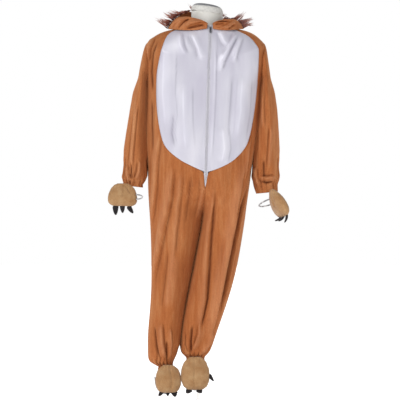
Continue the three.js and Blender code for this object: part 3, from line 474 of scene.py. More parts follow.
def points_of(mesh):
    """A mesh's points, as rows of x, y, z."""
    flat = np.empty(len(mesh.vertices) * 3)
    mesh.vertices.foreach_get("co", flat)
    return flat.reshape(-1, 3)


def move_points(mesh, points):
    mesh.vertices.foreach_set("co", points.ravel())
    mesh.update()


# ---- The hanging forms: centre and half sizes of a tube of cloth at each height ----
SAMPLES = 8  # steps along each triangle's side when its surface is sampled


def surface_points(name):
    """Points spread over a node's triangles."""
    mesh = NODES[name].data
    points = points_of(mesh)
    corners = np.empty(len(mesh.loops), dtype=int)
    mesh.loops.foreach_get("vertex_index", corners)
    a, b, c = points[corners].reshape(-1, 3, 3).transpose(1, 0, 2)
    steps = [(i / SAMPLES, k / SAMPLES) for i in range(SAMPLES + 1) for k in range(SAMPLES + 1 - i)]
    return np.concatenate([a + (b - a) * s + (c - a) * t for s, t in steps])


class Tube:
    """A hanging tube's centre, half width and half depth at each height, read from its nodes."""

    def __init__(self, names, step=10 * MM):
        points = np.concatenate([surface_points(name) for name in names])
        low, high = points[:, 2].min(), points[:, 2].max()
        self.heights = np.arange(low + step, high - step, step)
        rows = [points[abs(points[:, 2] - z) < step] for z in self.heights]
        lows = np.array([row.min(axis=0) for row in rows])
        highs = np.array([row.max(axis=0) for row in rows])
        self.centre = (lows + highs) / 2
        self.half = (highs - lows) / 2

    def level(self, values, z):
        """The x and y of a table of values at given heights."""
        return np.stack([np.interp(z, self.heights, values[:, axis]) for axis in (0, 1)], axis=1)

    def outward(self, points):
        """The level direction out of the tube at each point, as on an ellipse."""
        z = points[:, 2]
        centre, half = self.level(self.centre, z), self.level(self.half, z)
        away = (points[:, :2] - centre) / half**2
        return away / np.maximum(np.linalg.norm(away, axis=1, keepdims=True), 1e-9)


BODY = Tube([f"{face}_{side}" for face in ("front", "back") for side in SIDES])
LEG = {side: Tube([f"front_{side}", f"back_{side}"]) for side in SIDES}
SLEEVE = {side: Tube([f"sleeve_{side}"]) for side in SIDES}
LEG_TOP = 0.69  # under this the cloth faces as its own leg does
BODY_BOTTOM = 0.79  # and over this as the body does


def hump(t):
    """1 at the middle, falling away softly to either side."""
    return np.exp(-(t**2))


def soft_step(t):
    """Rises from 0 to 1 as t does, with no corners."""
    t = np.clip(t, 0, 1)
    return t * t * (3 - 2 * t)


def body_outward(points, side):
    """The level direction out of the cloth: the leg's own below the crotch, the body's above."""
    upper = soft_step((points[:, 2] - LEG_TOP) / (BODY_BOTTOM - LEG_TOP))[:, None]
    away = BODY.outward(points) * upper + LEG[side].outward(points) * (1 - upper)
    return away / np.maximum(np.linalg.norm(away, axis=1, keepdims=True), 1e-9)


# ---- Folds ----
# A fold is a soft ridge (or a trough, under 0) along its path. wide is its half width on the
# gentle side; steep is that of the other side as a share of it, on the -x side where negative.
Fold = namedtuple("Fold", "height wide steep path")

FRONT_FOLDS = (
    Fold(13.5, 26, 0.3, ((-100, 985), (-114, 830), (-138, 722), (-168, 570), (-180, 480))),
    Fold(8.5, 30, -0.36, ((-98, 640), (-116, 490), (-131, 380))),
    Fold(-3, 9, 0.7, ((-26, 935), (-36, 842), (-52, 720))),
    Fold(7.5, 18, 0.36, ((-62, 962), (-74, 860), (-92, 700), (-104, 560))),
    Fold(6, 14, -0.4, ((14, 930), (14, 850), (-6, 742))),
    Fold(8.5, 20, 0.3, ((62, 930), (58, 826), (42, 690), (34, 570), (26, 428), (8, 330), (-14, 234))),
    Fold(-4.5, 8, 0.7, ((70, 850), (54, 690), (48, 560), (40, 430), (14, 330), (-10, 240))),
    Fold(19.5, 26, 0.19, ((192, 998), (156, 826), (140, 720), (112, 590), (88, 470), (62, 330), (36, 230))),
    Fold(-10, 7, 0.8, ((204, 900), (176, 800), (160, 715), (134, 590), (110, 470), (84, 340))),
    Fold(9, 16, -0.33, ((120, 700), (92, 520), (70, 400))),
    Fold(-5.5, 8, 0.8, ((-196, 760), (-198, 600), (-188, 440))),
    Fold(10.5, 15, 0.33, ((-148, 340), (-142, 250), (-132, 190))),
    Fold(-8, 6, 0.8, ((-176, 330), (-166, 240), (-146, 178))),
    Fold(10.5, 11, 0.39, ((-112, 320), (-108, 250), (-116, 182))),
    Fold(-7, 5, 0.8, ((-124, 270), (-124, 200), (-126, 166))),
    Fold(10.5, 12, -0.33, ((8, 338), (4, 290), (-18, 224))),
    Fold(-9, 6, 0.8, ((-24, 330), (-30, 260), (-26, 206))),
    Fold(12, 12, 0.33, ((62, 300), (44, 250), (14, 206))),
    Fold(-7, 5, 0.8, ((-50, 300), (-52, 250), (-38, 210))),
    Fold(9, 22, 0.28, ((-150, 1120), (-164, 1000), (-172, 860), (-188, 700))),
    Fold(-5.5, 10, 0.7, ((-184, 1240), (-184, 1120), (-178, 1000))),
    Fold(10.5, 18, 0.28, ((-176, 1484), (-196, 1430), (-202, 1370))),
    Fold(-7, 7, 0.7, ((-158, 1470), (-180, 1410), (-186, 1340), (-180, 1250))),
    Fold(9, 14, -0.28, ((206, 1470), (228, 1420), (240, 1350))),
    Fold(-5.5, 7, 0.7, ((222, 1300), (216, 1180), (206, 1080), (198, 990))),
    Fold(9, 12, 0.33, ((210, 1080), (196, 980), (186, 900))),
)
BELLY_FOLDS = (
    Fold(2.5, 5, 0.7, ((72, 1506), (70, 1400), (62, 1200), (56, 1050), (52, 962))),
    Fold(7.5, 15, -0.5, ((-30, 1500), (2, 1430), (14, 1380))),
    Fold(5, 13, 0.6, ((-76, 1500), (-66, 1440), (-50, 1400))),
    Fold(9, 13, 0.5, ((160, 1500), (126, 1440), (98, 1380), (84, 1330))),
    Fold(6, 11, 0.6, ((176, 1486), (156, 1430), (140, 1370))),
    Fold(-4, 7, 0.8, ((142, 1500), (116, 1440), (96, 1400))),
    Fold(6, 15, -0.6, ((86, 1506), (104, 1460), (120, 1440))),
    Fold(4.5, 40, 0.8, ((-134, 1440), (-140, 1250), (-128, 1100))),
    Fold(4.5, 34, 0.8, ((176, 1330), (168, 1180), (150, 1060))),
    Fold(-3, 14, 0.9, ((140, 1340), (130, 1200), (118, 1060))),
    Fold(4, 30, 0.8, ((-60, 1300), (-58, 1150), (-48, 1010))),
    Fold(4, 22, 0.8, ((96, 1120), (104, 1030), (92, 970))),
    Fold(-3, 10, 0.8, ((-96, 1180), (-104, 1090), (-92, 1030))),
)
BACK_FOLDS = (
    Fold(13.5, 26, 0.28, ((-90, 1010), (-104, 800), (-140, 600), (-160, 470))),
    Fold(-8, 10, 0.7, ((-40, 960), (-52, 780), (-88, 560))),
    Fold(10.5, 20, -0.28, ((16, 980), (8, 800), (-30, 620))),
    Fold(15, 26, 0.22, ((150, 1000), (140, 820), (110, 600), (76, 400), (50, 260))),
    Fold(-9, 8, 0.8, ((172, 960), (160, 800), (130, 600), (96, 420))),
    Fold(9, 20, 0.33, ((84, 900), (66, 700), (48, 500))),
    Fold(10.5, 30, 0.33, ((-120, 1330), (-136, 1180), (-128, 1010))),
    Fold(-5.5, 14, 0.8, ((-60, 1350), (-70, 1200), (-60, 1060))),
    Fold(9, 28, -0.33, ((120, 1340), (134, 1180), (128, 1030))),
    Fold(-5.5, 11, 0.8, ((170, 1300), (168, 1150), (156, 1000))),
    Fold(10.5, 15, 0.33, ((-150, 330), (-140, 240), (-128, 190))),
    Fold(-8, 6, 0.8, ((-112, 320), (-112, 240), (-118, 182))),
    Fold(-8, 6, 0.8, ((-180, 320), (-170, 240), (-148, 182))),
    Fold(12, 12, 0.33, ((40, 330), (24, 250), (2, 206))),
    Fold(-9, 6, 0.8, ((-20, 330), (-26, 260), (-24, 206))),
    Fold(9, 14, 0.33, ((-190, 1440), (-196, 1380), (-190, 1290))),
    Fold(9, 14, -0.33, ((214, 1440), (226, 1380), (222, 1290))),
)
# Folds of the sleeves as seen from the front or back, then as seen from the side, along y.
SLEEVE_FOLDS = {
    "left": (
        Fold(7, 12, 0.28, ((-238, 1240), (-252, 1120), (-262, 1010), (-266, 930))),
        Fold(-4, 5, 0.8, ((-258, 1180), (-272, 1060), (-282, 960))),
        Fold(8.5, 10, -0.33, ((-236, 985), (-240, 940), (-252, 905))),
        Fold(-6.5, 4, 0.8, ((-268, 980), (-266, 935), (-262, 902))),
        Fold(8.5, 9, 0.39, ((-284, 970), (-280, 930), (-270, 900))),
    ),
    "right": (
        Fold(8.5, 12, 0.28, ((250, 1360), (262, 1240), (262, 1100))),
        Fold(-5, 5, 0.8, ((238, 1300), (246, 1200), (244, 1090), (238, 1000))),
        Fold(8.5, 11, -0.28, ((290, 1130), (284, 1020), (280, 950))),
        Fold(-7.5, 5, 0.8, ((250, 900), (276, 896), (304, 902))),
        Fold(10, 10, 0.44, ((246, 918), (276, 914), (310, 920))),
        Fold(-6.5, 4, 0.8, ((262, 990), (262, 940), (266, 890))),
        Fold(8.5, 9, 0.39, ((232, 960), (236, 920), (250, 885))),
    ),
}
SIDE_FOLDS = (
    Fold(10.5, 22, 0.28, ((-30, 1330), (-24, 1200), (-8, 1040), (-4, 950))),
    Fold(-6, 9, 0.7, ((10, 1360), (16, 1220), (22, 1080))),
    Fold(9, 18, -0.28, ((44, 1290), (38, 1150), (26, 1000))),
    Fold(-6, 7, 0.8, ((-20, 1010), (-16, 950), (-10, 905))),
    Fold(8, 12, 0.39, ((26, 1000), (22, 940), (14, 900))),
)


LINE_WIDE = 2.6 * MM  # half the width of the painted line along a crest or crease: highlight on a crest, shade in a crease
TURNED = 0.3  # the least that the cloth faces the viewer when its folds are measured across
FOLD_END = 0.22  # the share of a fold's length over which each end dies away
FOOT_DEPTH = 0.35  # the crease at a ridge's steep foot, as a share of its height
FOOT_AT = (1.9, 1.6)  # where that crease and its painted shade line lie, in steep widths from the crest
FOOT_LINE = 0.8  # how strong that painted shade line is, against the crest's painted highlight line


def fold_height(across, slant, z, folds):
    """The folds' height at points, and the fine painted lines: highlight along their crests, shade along
    their creases.

    across is x or y, and slant is how much the cloth faces that way.
    """
    total = np.zeros(len(z))
    lines = np.zeros(len(z))
    spread = np.maximum(slant, TURNED)
    facing = soft_step((slant - 0.12) / 0.35)
    for fold in folds:
        path = np.array(fold.path, dtype=float) * MM
        wide = fold.wide * MM
        lengths = np.linalg.norm(np.diff(path, axis=0), axis=1)
        starts = np.concatenate([[0], np.cumsum(lengths)])
        near = np.full(len(z), 1e9)
        side = np.zeros(len(z))
        place = np.zeros(len(z))
        for i, (start, end) in enumerate(zip(path[:-1], path[1:])):
            run = (end - start) / lengths[i]
            off_x = (across - start[0]) / spread
            off_z = z - start[1]
            t = np.clip((across - start[0]) * run[0] + off_z * run[1], 0, lengths[i])
            gap_x = off_x - t * run[0] / spread
            gap_z = off_z - t * run[1]
            gap = np.hypot(gap_x, gap_z)
            closer = gap < near
            near = np.where(closer, gap, near)
            side = np.where(closer, np.sign(gap_z * run[0] - gap_x * run[1]), side)
            place = np.where(closer, (starts[i] + t) / starts[-1], place)
        on_steep = side * np.sign(fold.steep) > 0
        reach = np.where(on_steep, wide * abs(fold.steep), wide)
        shown = soft_step(place / FOLD_END) * soft_step((1 - place) / FOLD_END) * facing
        rise = hump(near / reach)
        foot = np.where(on_steep, FOOT_DEPTH * hump((near - FOOT_AT[0] * reach) / reach), 0)
        total += fold.height * MM * (rise - foot) * shown
        # painted lines, for the colour only: shade at a ridge's steep foot, highlight along a crest, shade
        # along a trough
        crease = np.where(on_steep, FOOT_LINE * hump((near - FOOT_AT[1] * reach) / LINE_WIDE), 0)
        lines += (np.sign(fold.height) * hump(near / LINE_WIDE) - crease) * shown
    return np.stack([total, lines])


WAVES = 9  # how many slow waves the hanging cloth has, one over another
WAVE_LENGTHS = (45, 150)


def drape(across, z, seed, amount):
    """Slow, uneven waves that hang mostly straight down, so that no stretch of cloth is flat."""
    dice = random.Random(seed)
    total = np.zeros(len(z))
    for _ in range(WAVES):
        wave = 2 * math.pi / (dice.uniform(*WAVE_LENGTHS) * MM)
        lean = dice.uniform(-0.16, 0.16)
        phase = dice.uniform(0, 6.3)
        slow = np.sin(z * 2 * math.pi / dice.uniform(0.25, 0.8) + dice.uniform(0, 6.3))
        total += np.sin(wave * (across + lean * z) + phase) * (0.6 + 0.4 * slow)
    return total * amount * MM / 5


def gathers(angle, z, level, reach, count, amount, seed):
    """Gathers that run in to an elastic at a level: round ridges parted by sharp creases."""
    dice = random.Random(seed)
    wobble = 0.5 * np.sin(3 * angle + dice.uniform(0, 6)) + 0.4 * np.sin(5 * angle + dice.uniform(0, 6))
    uneven = reach * (0.85 + 0.4 * np.sin(4 * angle + seed) + 0.2 * np.sin(9 * angle))
    above = np.maximum(z - level, 0) / uneven
    below = np.maximum(level - z, 0) / (0.5 * reach)
    size = np.exp(-(above**2) - below**2) * (0.75 + 0.25 * np.sin(7 * angle + seed))
    ridge = abs(np.cos(0.5 * count * angle + wobble)) ** 0.7
    return amount * MM * size * (1.8 * ridge - 1)


SEAM_DIP = 0.8 * MM  # how far the cloth dips into a seam
SEAM_REACH = 7 * MM  # and how far from the seam it starts to
SEAM_HOLD = 12 * MM  # within this of a sewn edge the folds die away, so that seams stay shut


def from_seam(piece, points):
    """How far each point is from its panel's sewn edge."""
    mesh = piece.data
    crease = mesh.attributes.get("crease_edge")
    if crease is None:
        return np.full(len(points), 1.0)
    held = np.zeros(len(mesh.edges))
    crease.data.foreach_get("value", held)
    ends = np.empty(len(mesh.edges) * 2, dtype=int)
    mesh.edges.foreach_get("vertices", ends)
    rim = np.unique(ends.reshape(-1, 2)[held > 0.5])
    tree = kdtree.KDTree(len(rim))
    for i, k in enumerate(rim):
        tree.insert(points[k], i)
    tree.balance()
    return np.array([tree.find(p)[2] for p in points])


def settle(piece, points, height, hem):
    """Lets the folds die away towards the seams, and dips the cloth into them, above its hem."""
    off = from_seam(piece, points)
    held = (1 - soft_step(off / SEAM_HOLD)) * soft_step((points[:, 2] - hem) / 0.04)
    return height * (1 - held) - SEAM_DIP * np.clip(1 - off / SEAM_REACH, 0, 1) ** 2


# A fold this high shows its full painted highlight, and one this deep its full painted shade.
CREST = {"front": 11 * MM, "sleeve": 11 * MM, "back": 17 * MM, "belly": 9 * MM}


def keep_fold_light_mask(piece, height, lines, full):
    """Keeps how the cloth folds at each point, as the mask for its painted shade and highlight: from 0 in a
    crease to 1 on a crest.
    """
    crest = np.clip(0.5 + 0.5 * height / full + 0.3 * lines, 0, 1)
    piece.data.attributes.new("crest", "FLOAT", "POINT").data.foreach_set("value", crest)


# ---- How neighbouring pieces meet ----
LAP = 7 * MM  # how far cloth swells past its neighbour, so that no light shows between them
LAP_DEEP = 15 * MM  # half the depth, front to back, of the stretch that swells
LAP_FADE = 0.03  # the height over which a lap's ends die away
LAP_AHEAD = 22 * MM  # how far in front of (or behind) the closest line it does so
ARMHOLE_AHEAD = ((1.30, 1.34, 1.40, 1.43), (0.022, 0.044, 0.044, 0.032))  # at each height
LEG_LAP = (0.22, 0.84)  # the heights between which one leg laps the other
SLEEVE_LAP = (0.84, 1.46)


def lap(points, toward, ahead, low, high):
    """toward is how much the cloth faces its neighbour, ahead the y at which it swells."""
    y, z = points[:, 1], points[:, 2]
    near = hump((y - ahead) / LAP_DEEP) * soft_step((toward - 0.3) / 0.3)
    return LAP * near * soft_step((z - low) / LAP_FADE) * soft_step((high - z) / LAP_FADE)


TAPE_EDGE = 7.4 * MM  # where the cloth beside the zip ends in the frame, from the zip's middle
COVER = {"belly": 2.4 * MM, "front": 0.4 * MM}  # where it ends when it is drawn over the tape
TAPE_DRAWN = 24 * MM  # how much of the cloth beside the tape is drawn in with its edge
LIFT = {"belly": 0.7 * MM, "front": 2.6 * MM}  # how far its edge then stands before the tape
LIFT_WIDE = 10 * MM  # how far from the edge the lift dies away
SLIT = (0.938, 0.868)  # the heights of the zip's last stretch, between the fronts
# The x of the fronts' seam under the zip at each height, and how far each front is drawn over it.
SEAM_UNDER_ZIP = ((0.74, 0.77, 0.80, 0.84, 0.868), (0.014, 0.0185, 0.022, 0.0265, 0.028))
FRONT_SHUT = 1.5 * MM
HOOD_SEAM = ((0.079, 0.196), (0.0498, 0.0274))  # the x of the hood's back seam at each y
HOOD_SHUT = 2.4 * MM
SHUT_DRAWN = 16 * MM  # how much of the cloth beside a seam is drawn in with its edge
CROTCH = SEAM_UNDER_ZIP[0][0]


def side_sign(side):
    """Which way a side lies in x."""
    return -1 if side == "left" else 1


def close_seam(points, side, middle, reach, share):
    """Draws a panel's edge past its seam's middle, by the reach where the share is 1."""
    off = side_sign(side) * (points[:, 0] - middle)
    near = np.clip(1 - off / SHUT_DRAWN, 0, 1)
    points[:, 0] -= side_sign(side) * reach * share * near


def zip_middle(z):
    """The x and y of the chain's face at given heights."""
    points = points_of(NODES["zip_teeth"].data)
    levels = np.unique(np.round(points[:, 2], 3))
    rows = [points[abs(points[:, 2] - level) < 4 * MM] for level in levels]
    x = np.interp(z, levels, [row[:, 0].mean() for row in rows])
    return x, np.interp(z, levels, [row[:, 1].min() for row in rows])


def draw_over_tape(points, side, kind):
    """Slides the cloth's edges over the tape; under the belly's tip the fronts run together."""
    z = points[:, 2]
    front = points[:, 1] < 0
    middle, _ = zip_middle(z)
    off = side_sign(side) * (points[:, 0] - middle)
    past_edge = off - TAPE_EDGE
    reach = TAPE_EDGE - COVER[kind]
    lift = LIFT[kind]
    if kind == "front":
        along = np.clip((SLIT[0] - z) / (SLIT[0] - SLIT[1]), 0, 1)
        reach = reach * np.where(z > SLIT[1] - 2 * MM, along**0.9, 0) * (z < SLIT[0] + 4 * MM)
        lift = lift * soft_step((along - 0.08) / 0.25) * (z > SLIT[1] - 14 * MM)
    share = np.clip(1 - past_edge / TAPE_DRAWN, 0, 1) * front
    closer = np.maximum(off - reach * share, np.minimum(off, 0.3 * MM))
    points[:, 0] = middle + side_sign(side) * closer
    beside = np.clip(1 - past_edge / LIFT_WIDE, 0, 1) * front * (off < 20 * MM)
    points[:, 1] -= lift * beside
    if kind == "front":
        under = soft_step((z - CROTCH) / 0.02) * (z < SLIT[1] + 4 * MM) * front
        close_seam(points, side, np.interp(z, *SEAM_UNDER_ZIP), FRONT_SHUT, under)


# ---- The body's panels ----
# Heights of the elastics, and how far over each the cloth is drawn in.
ANKLES = {"left": 157, "right": 190}
WRISTS = {"left": 894, "right": 884}
ANKLE_HOLD = 50
WRIST_HOLD = 30
SHOULDER_FADE = {"sleeve": (1.40, 0.08), "body": (1.53, 0.04)}  # where the folds die away on top
DRAPE = {"front": 1.7, "back": 1.7, "belly": 0.9, "sleeve": 1.6}  # how high the slow waves are
DRAPE_SEED = {"front": 4, "back": 5, "belly": 4}
BODY_FOLDS = {"front": FRONT_FOLDS, "back": BACK_FOLDS, "belly": BELLY_FOLDS}
LAPPING = {"front_left": -LAP_AHEAD, "back_right": LAP_AHEAD}  # the leg panels that lap the others


def finish_cloth(piece, name, material):
    """Shades and dresses a cloth piece, and sets it riding on its body."""
    smooth_shaded(piece)
    stand_in(piece, name, material)


def sleeve_height(name, side, points, away):
    """A sleeve's folds, the fine painted light and shade lines along them, and how far it laps the armhole.
    """
    x, y, z = points.T
    angle = np.arctan2(away[:, 1], away[:, 0])
    ahead = fold_height(x, abs(away[:, 1]), z, SLEEVE_FOLDS[side])
    beside = fold_height(y, abs(away[:, 0]), z, SIDE_FOLDS)
    height, lines = ahead + beside
    height += drape(angle * 0.06, z, 31 + len(name), DRAPE["sleeve"])
    height += gathers(angle, z, WRISTS[side] * MM, 0.045, 15, 6.0, 3)
    toward_body = -side_sign(side) * away[:, 0]
    over = lap(points, toward_body, -np.interp(z, *ARMHOLE_AHEAD), *SLEEVE_LAP)
    return height, lines, over


def body_height(name, kind, side, points, away):
    """A body panel's folds, the fine painted light and shade lines along them, and how far it laps the
    other leg.
    """
    x, _, z = points.T
    face_on = abs(away[:, 1])
    height, lines = fold_height(x, face_on, z, BODY_FOLDS[kind])
    height += drape(x, z, DRAPE_SEED[kind], DRAPE[kind]) * face_on
    leg = LEG[side].outward(points)
    angle = np.arctan2(leg[:, 1], leg[:, 0])
    height += gathers(angle, z, ANKLES[side] * MM, 0.06, 17, 7.0, 5 + len(side))
    over = 0
    if name in LAPPING:
        over = lap(points, -side_sign(side) * leg[:, 0], LAPPING[name], *LEG_LAP)
    return height, lines, over


def panel(name, material, levels):
    """One sewn panel: the frame's thin wall made smooth, then folded."""
    kind, side = name.rsplit("_", 1)
    piece = copy_of(name, "_cloth")
    hold_edges(piece, RIM_ANGLE)
    subdivide(piece, levels)
    points = points_of(piece.data)
    if kind == "sleeve":
        away = SLEEVE[side].outward(points)
        height, lines, over = sleeve_height(name, side, points, away)
        hem = WRISTS[side] + WRIST_HOLD
        top, fade = SHOULDER_FADE["sleeve"]
    else:
        away = body_outward(points, side)
        height, lines, over = body_height(name, kind, side, points, away)
        hem = ANKLES[side] + ANKLE_HOLD
        top, fade = SHOULDER_FADE["body"]
    height = settle(piece, points, height * soft_step((top - points[:, 2]) / fade), hem * MM)
    # the mask for the painted shade and highlight of the folds
    keep_fold_light_mask(piece, height, lines, CREST[kind])
    points[:, :2] += away * (height + over)[:, None]
    if kind in COVER:
        draw_over_tape(points, side, kind)
    move_points(piece.data, points)
    finish_cloth(piece, name, material)


HOOD_FOLDS = {
    "left": (
        Fold(-11, 5, 0.6, ((-88, 1502), (-74, 1524), (-56, 1541), (-34, 1550))),
        Fold(10, 12, 0.33, ((-108, 1504), (-94, 1532), (-70, 1552), (-40, 1562))),
        Fold(10, 10, -0.28, ((-62, 1514), (-28, 1531), (8, 1540), (42, 1542))),
        Fold(-7, 4, 0.8, ((-66, 1503), (-30, 1513), (6, 1522), (34, 1529))),
        Fold(6, 8, 0.33, ((-44, 1504), (-8, 1510), (28, 1520))),
        Fold(-4.5, 3, 0.8, ((-104, 1516), (-92, 1520), (-84, 1534))),
        Fold(6, 5, 0.5, ((-100, 1506), (-84, 1528), (-62, 1544), (-44, 1550))),
        Fold(-4.5, 3, 0.8, ((-52, 1508), (-20, 1521), (14, 1530))),
        Fold(5, 5, -0.4, ((-78, 1538), (-50, 1550), (-18, 1554))),
    ),
    "right": (
        Fold(-10, 4, 0.6, ((116, 1504), (132, 1520), (150, 1530))),
        Fold(9, 9, 0.33, ((98, 1512), (122, 1526), (146, 1541))),
        Fold(9, 10, -0.28, ((62, 1538), (92, 1545), (124, 1545))),
        Fold(-6, 4, 0.8, ((66, 1526), (88, 1528), (112, 1532))),
        Fold(7, 8, 0.33, ((70, 1512), (96, 1506), (120, 1500))),
        Fold(6, 5, 0.4, ((84, 1510), (106, 1520), (134, 1524))),
        Fold(-4.5, 3, 0.8, ((74, 1536), (98, 1540), (128, 1539))),
    ),
}
POUCH_FOLDS = (
    Fold(9, 18, 0.5, ((-80, 1570), (-60, 1510), (-20, 1450))),
    Fold(-7, 14, 0.7, ((-40, 1580), (-20, 1520), (10, 1450))),
    Fold(8, 16, -0.5, ((120, 1560), (100, 1500), (60, 1440))),
    Fold(-7, 13, 0.8, ((80, 1580), (70, 1510), (46, 1440))),
    Fold(6, 14, 0.6, ((-110, 1540), (-98, 1500), (-70, 1460))),
)


NECK_X = 0.036  # the middle of the neck and of the hood
HOOD_PAINTED_HIGHLIGHT = (5.5 * MM, 9 * MM)  # the hood is painted paler, as highlight: the amount added to its height for that, and the height that shows the full painted light and shade


def hood_piece(name, material, levels, folds):
    """A part of the hood: its wall made smooth, then rumpled."""
    kind, side = name.rsplit("_", 1)
    piece = copy_of(name, "_cloth")
    hold_edges(piece, RIM_ANGLE)
    subdivide(piece, levels)
    points = points_of(piece.data)
    away = points[:, :2] - np.array([[NECK_X, 0.0]])
    away /= np.linalg.norm(away, axis=1, keepdims=True)
    x, y, z = points.T
    height, lines = fold_height(x, np.maximum(abs(away[:, 1]), 0.5), z, folds)
    height = settle(piece, points, height + drape(x + 0.6 * y, z, 61 + len(name), 1.6), 0)
    paler, full = HOOD_PAINTED_HIGHLIGHT
    # the hood's fold mask, raised so that the hood is painted paler, as highlight
    keep_fold_light_mask(piece, height + paler, lines, full)
    points[:, :2] += away * height[:, None]
    if kind == "hood":
        behind = soft_step((points[:, 1] - 0.06) / 0.015)
        close_seam(points, side, np.interp(points[:, 1], *HOOD_SEAM), HOOD_SHUT, behind)
    move_points(piece.data, points)
    finish_cloth(piece, name, material)


# ---- The mane ----
# The hood's rim from the shoulder (u 1) to the centre back (u 0).
Rim = namedtuple("Rim", "u x y z")
RIM = {
    "left": (
        Rim(1, -122, 2, 1518),
        Rim(0.8, -112, 52, 1542),
        Rim(0.55, -82, 102, 1572),
        Rim(0.28, -32, 138, 1594),
        Rim(0, 36, 152, 1584),
    ),
    "right": (
        Rim(1, 180, 2, 1517),
        Rim(0.8, 176, 52, 1538),
        Rim(0.55, 152, 100, 1553),
        Rim(0.28, 102, 136, 1566),
        Rim(0, 36, 152, 1584),
    ),
}
TUFTS = 19  # on each half
STRANDS = 18  # in each tuft
FUR_LENGTH = 58 * MM
ROOT_SPREAD = 3 * MM  # how widely a tuft's strands stand at their roots, and part at their tips
TIP_SPREAD = 4 * MM
STRAND_SHARE = (0.5, 1.0)  # how much of the way to the tuft's tip a strand reaches
STRAND_RADIUS = (0.8, 1.5)
STRAND_DROOP = (0, 5)
STRAND_RINGS = 4
STRAND_SIDES = 3
TIP_TAPER = 0.75


def rim_point(side, u):
    """A point of the hood's rim."""
    rows = sorted(RIM[side])
    places = [row.u for row in rows]
    return Vector([np.interp(u, places, [getattr(row, axis) for row in rows]) * MM for axis in "xyz"])


def add_strand(verts, faces, along, root, grow, droop, length, radius):
    """A tapered, curved fibre bundle with three sides."""
    across = grow.cross(Vector((0, 0, 1))).normalized()
    other = across.cross(grow).normalized()
    first = len(verts)
    for i in range(STRAND_RINGS + 1):
        t = i / STRAND_RINGS
        middle = root + grow * (length * t) + droop * (t * t)
        if i == STRAND_RINGS:
            verts.append(middle)
            along.append(1.0)
            break
        for k in range(STRAND_SIDES):
            turn = 2 * math.pi * k / STRAND_SIDES
            size = radius * (1 - TIP_TAPER * t)
            verts.append(middle + (across * math.cos(turn) + other * math.sin(turn)) * size)
            along.append(t)
    for i in range(STRAND_RINGS - 1):
        for k in range(STRAND_SIDES):
            a = first + i * STRAND_SIDES + k
            b = first + i * STRAND_SIDES + (k + 1) % STRAND_SIDES
            faces.append((a, b, b + STRAND_SIDES, a + STRAND_SIDES))
    last = first + (STRAND_RINGS - 1) * STRAND_SIDES
    for k in range(STRAND_SIDES):
        faces.append((last + k, last + (k + 1) % STRAND_SIDES, len(verts) - 1))
    faces.append(tuple(first + k for k in reversed(range(STRAND_SIDES))))


def tuft_tip(dice, side, u, root):
    """Where a tuft points: out from the neck, and upwards over the shoulders."""
    flat = Vector((root.x - NECK_X, root.y, 0)).normalized()
    up = 0.1 + 0.75 * soft_step((u - 0.3) / 0.4) * (1 - 0.6 * soft_step((u - 0.9) / 0.1))
    up += dice.uniform(-0.7, 0.6)
    aim = flat + Vector((side_sign(side) * 0.8 * u, -0.25 * u, up))
    aim = (aim + Vector([dice.uniform(-0.22, 0.22) for _ in range(3)])).normalized()
    return root + aim * FUR_LENGTH * dice.uniform(0.7, 1.15)


def mane(side, material):
    """Spiky tufts of long pile along the hood's rim."""
    dice = random.Random(17 if side == "left" else 23)
    verts, faces, along = [], [], []
    for tuft in range(TUFTS):
        u = 1.0 - (tuft + 0.5) / TUFTS + dice.uniform(-0.012, 0.012)
        root = rim_point(side, u)
        tip = tuft_tip(dice, side, u, root)
        for _ in range(STRANDS):
            start = root + Vector([dice.gauss(0, ROOT_SPREAD) for _ in range(3)])
            share = dice.uniform(*STRAND_SHARE)
            end = start.lerp(tip + Vector([dice.gauss(0, TIP_SPREAD) for _ in range(3)]), share)
            grow = end - start
            droop = Vector((0, 0, -dice.uniform(*STRAND_DROOP) * MM))
            radius = dice.uniform(*STRAND_RADIUS) * MM
            add_strand(verts, faces, along, start, grow.normalized(), droop, grow.length, radius)
    mesh = bpy.data.meshes.new(f"mane_{side}_fur")
    mesh.from_pydata([tuple(v) for v in verts], [], faces)
    mesh.attributes.new("along", "FLOAT", "POINT").data.foreach_set("value", along)
    piece = bpy.data.objects.new(f"mane_{side}_fur", mesh)
    bpy.context.collection.objects.link(piece)
    smooth_shaded(piece)
    stand_in(piece, f"mane_{side}", material)


# ---- Stuffed covers, claws and elastic ----
PAD_VOXEL = 4 * MM
SWELL = 5 * MM  # how far a point may move as a pad swells
CLOTH_FRAMES = 20
PAD_PRESSURE = 4


def swell(piece):
    """Fills a pad: cloth with pressure inside, held to a small move."""
    before = points_of(piece.data)
    cloth = piece.modifiers.new("cloth", "CLOTH")
    cloth.settings.use_pressure = True
    cloth.settings.uniform_pressure_force = PAD_PRESSURE
    cloth.settings.effector_weights.gravity = 0
    cloth.point_cache.frame_end = CLOTH_FRAMES
    for step in range(1, CLOTH_FRAMES + 1):
        bpy.context.scene.frame_set(step)
    shape = piece.evaluated_get(bpy.context.evaluated_depsgraph_get()).to_mesh()
    moved = points_of(shape) - before
    piece.modifiers.remove(cloth)
    size = np.maximum(np.linalg.norm(moved, axis=1, keepdims=True), 1e-9)
    move_points(piece.data, before + moved / size * np.minimum(size, SWELL))
    bpy.context.scene.frame_set(1)


# Seams of each cover: where across its width (from -1 to 1), and how far down it runs (0 to 1).
PAD_SEAMS = {
    "paw_left": ((0.05, 0.62), (0.55, 0.5)),
    "paw_right": ((0.1, 0.6),),
    "foot_left": ((0.3, 0.9),),
    "foot_right": ((-0.05, 0.95),),
}
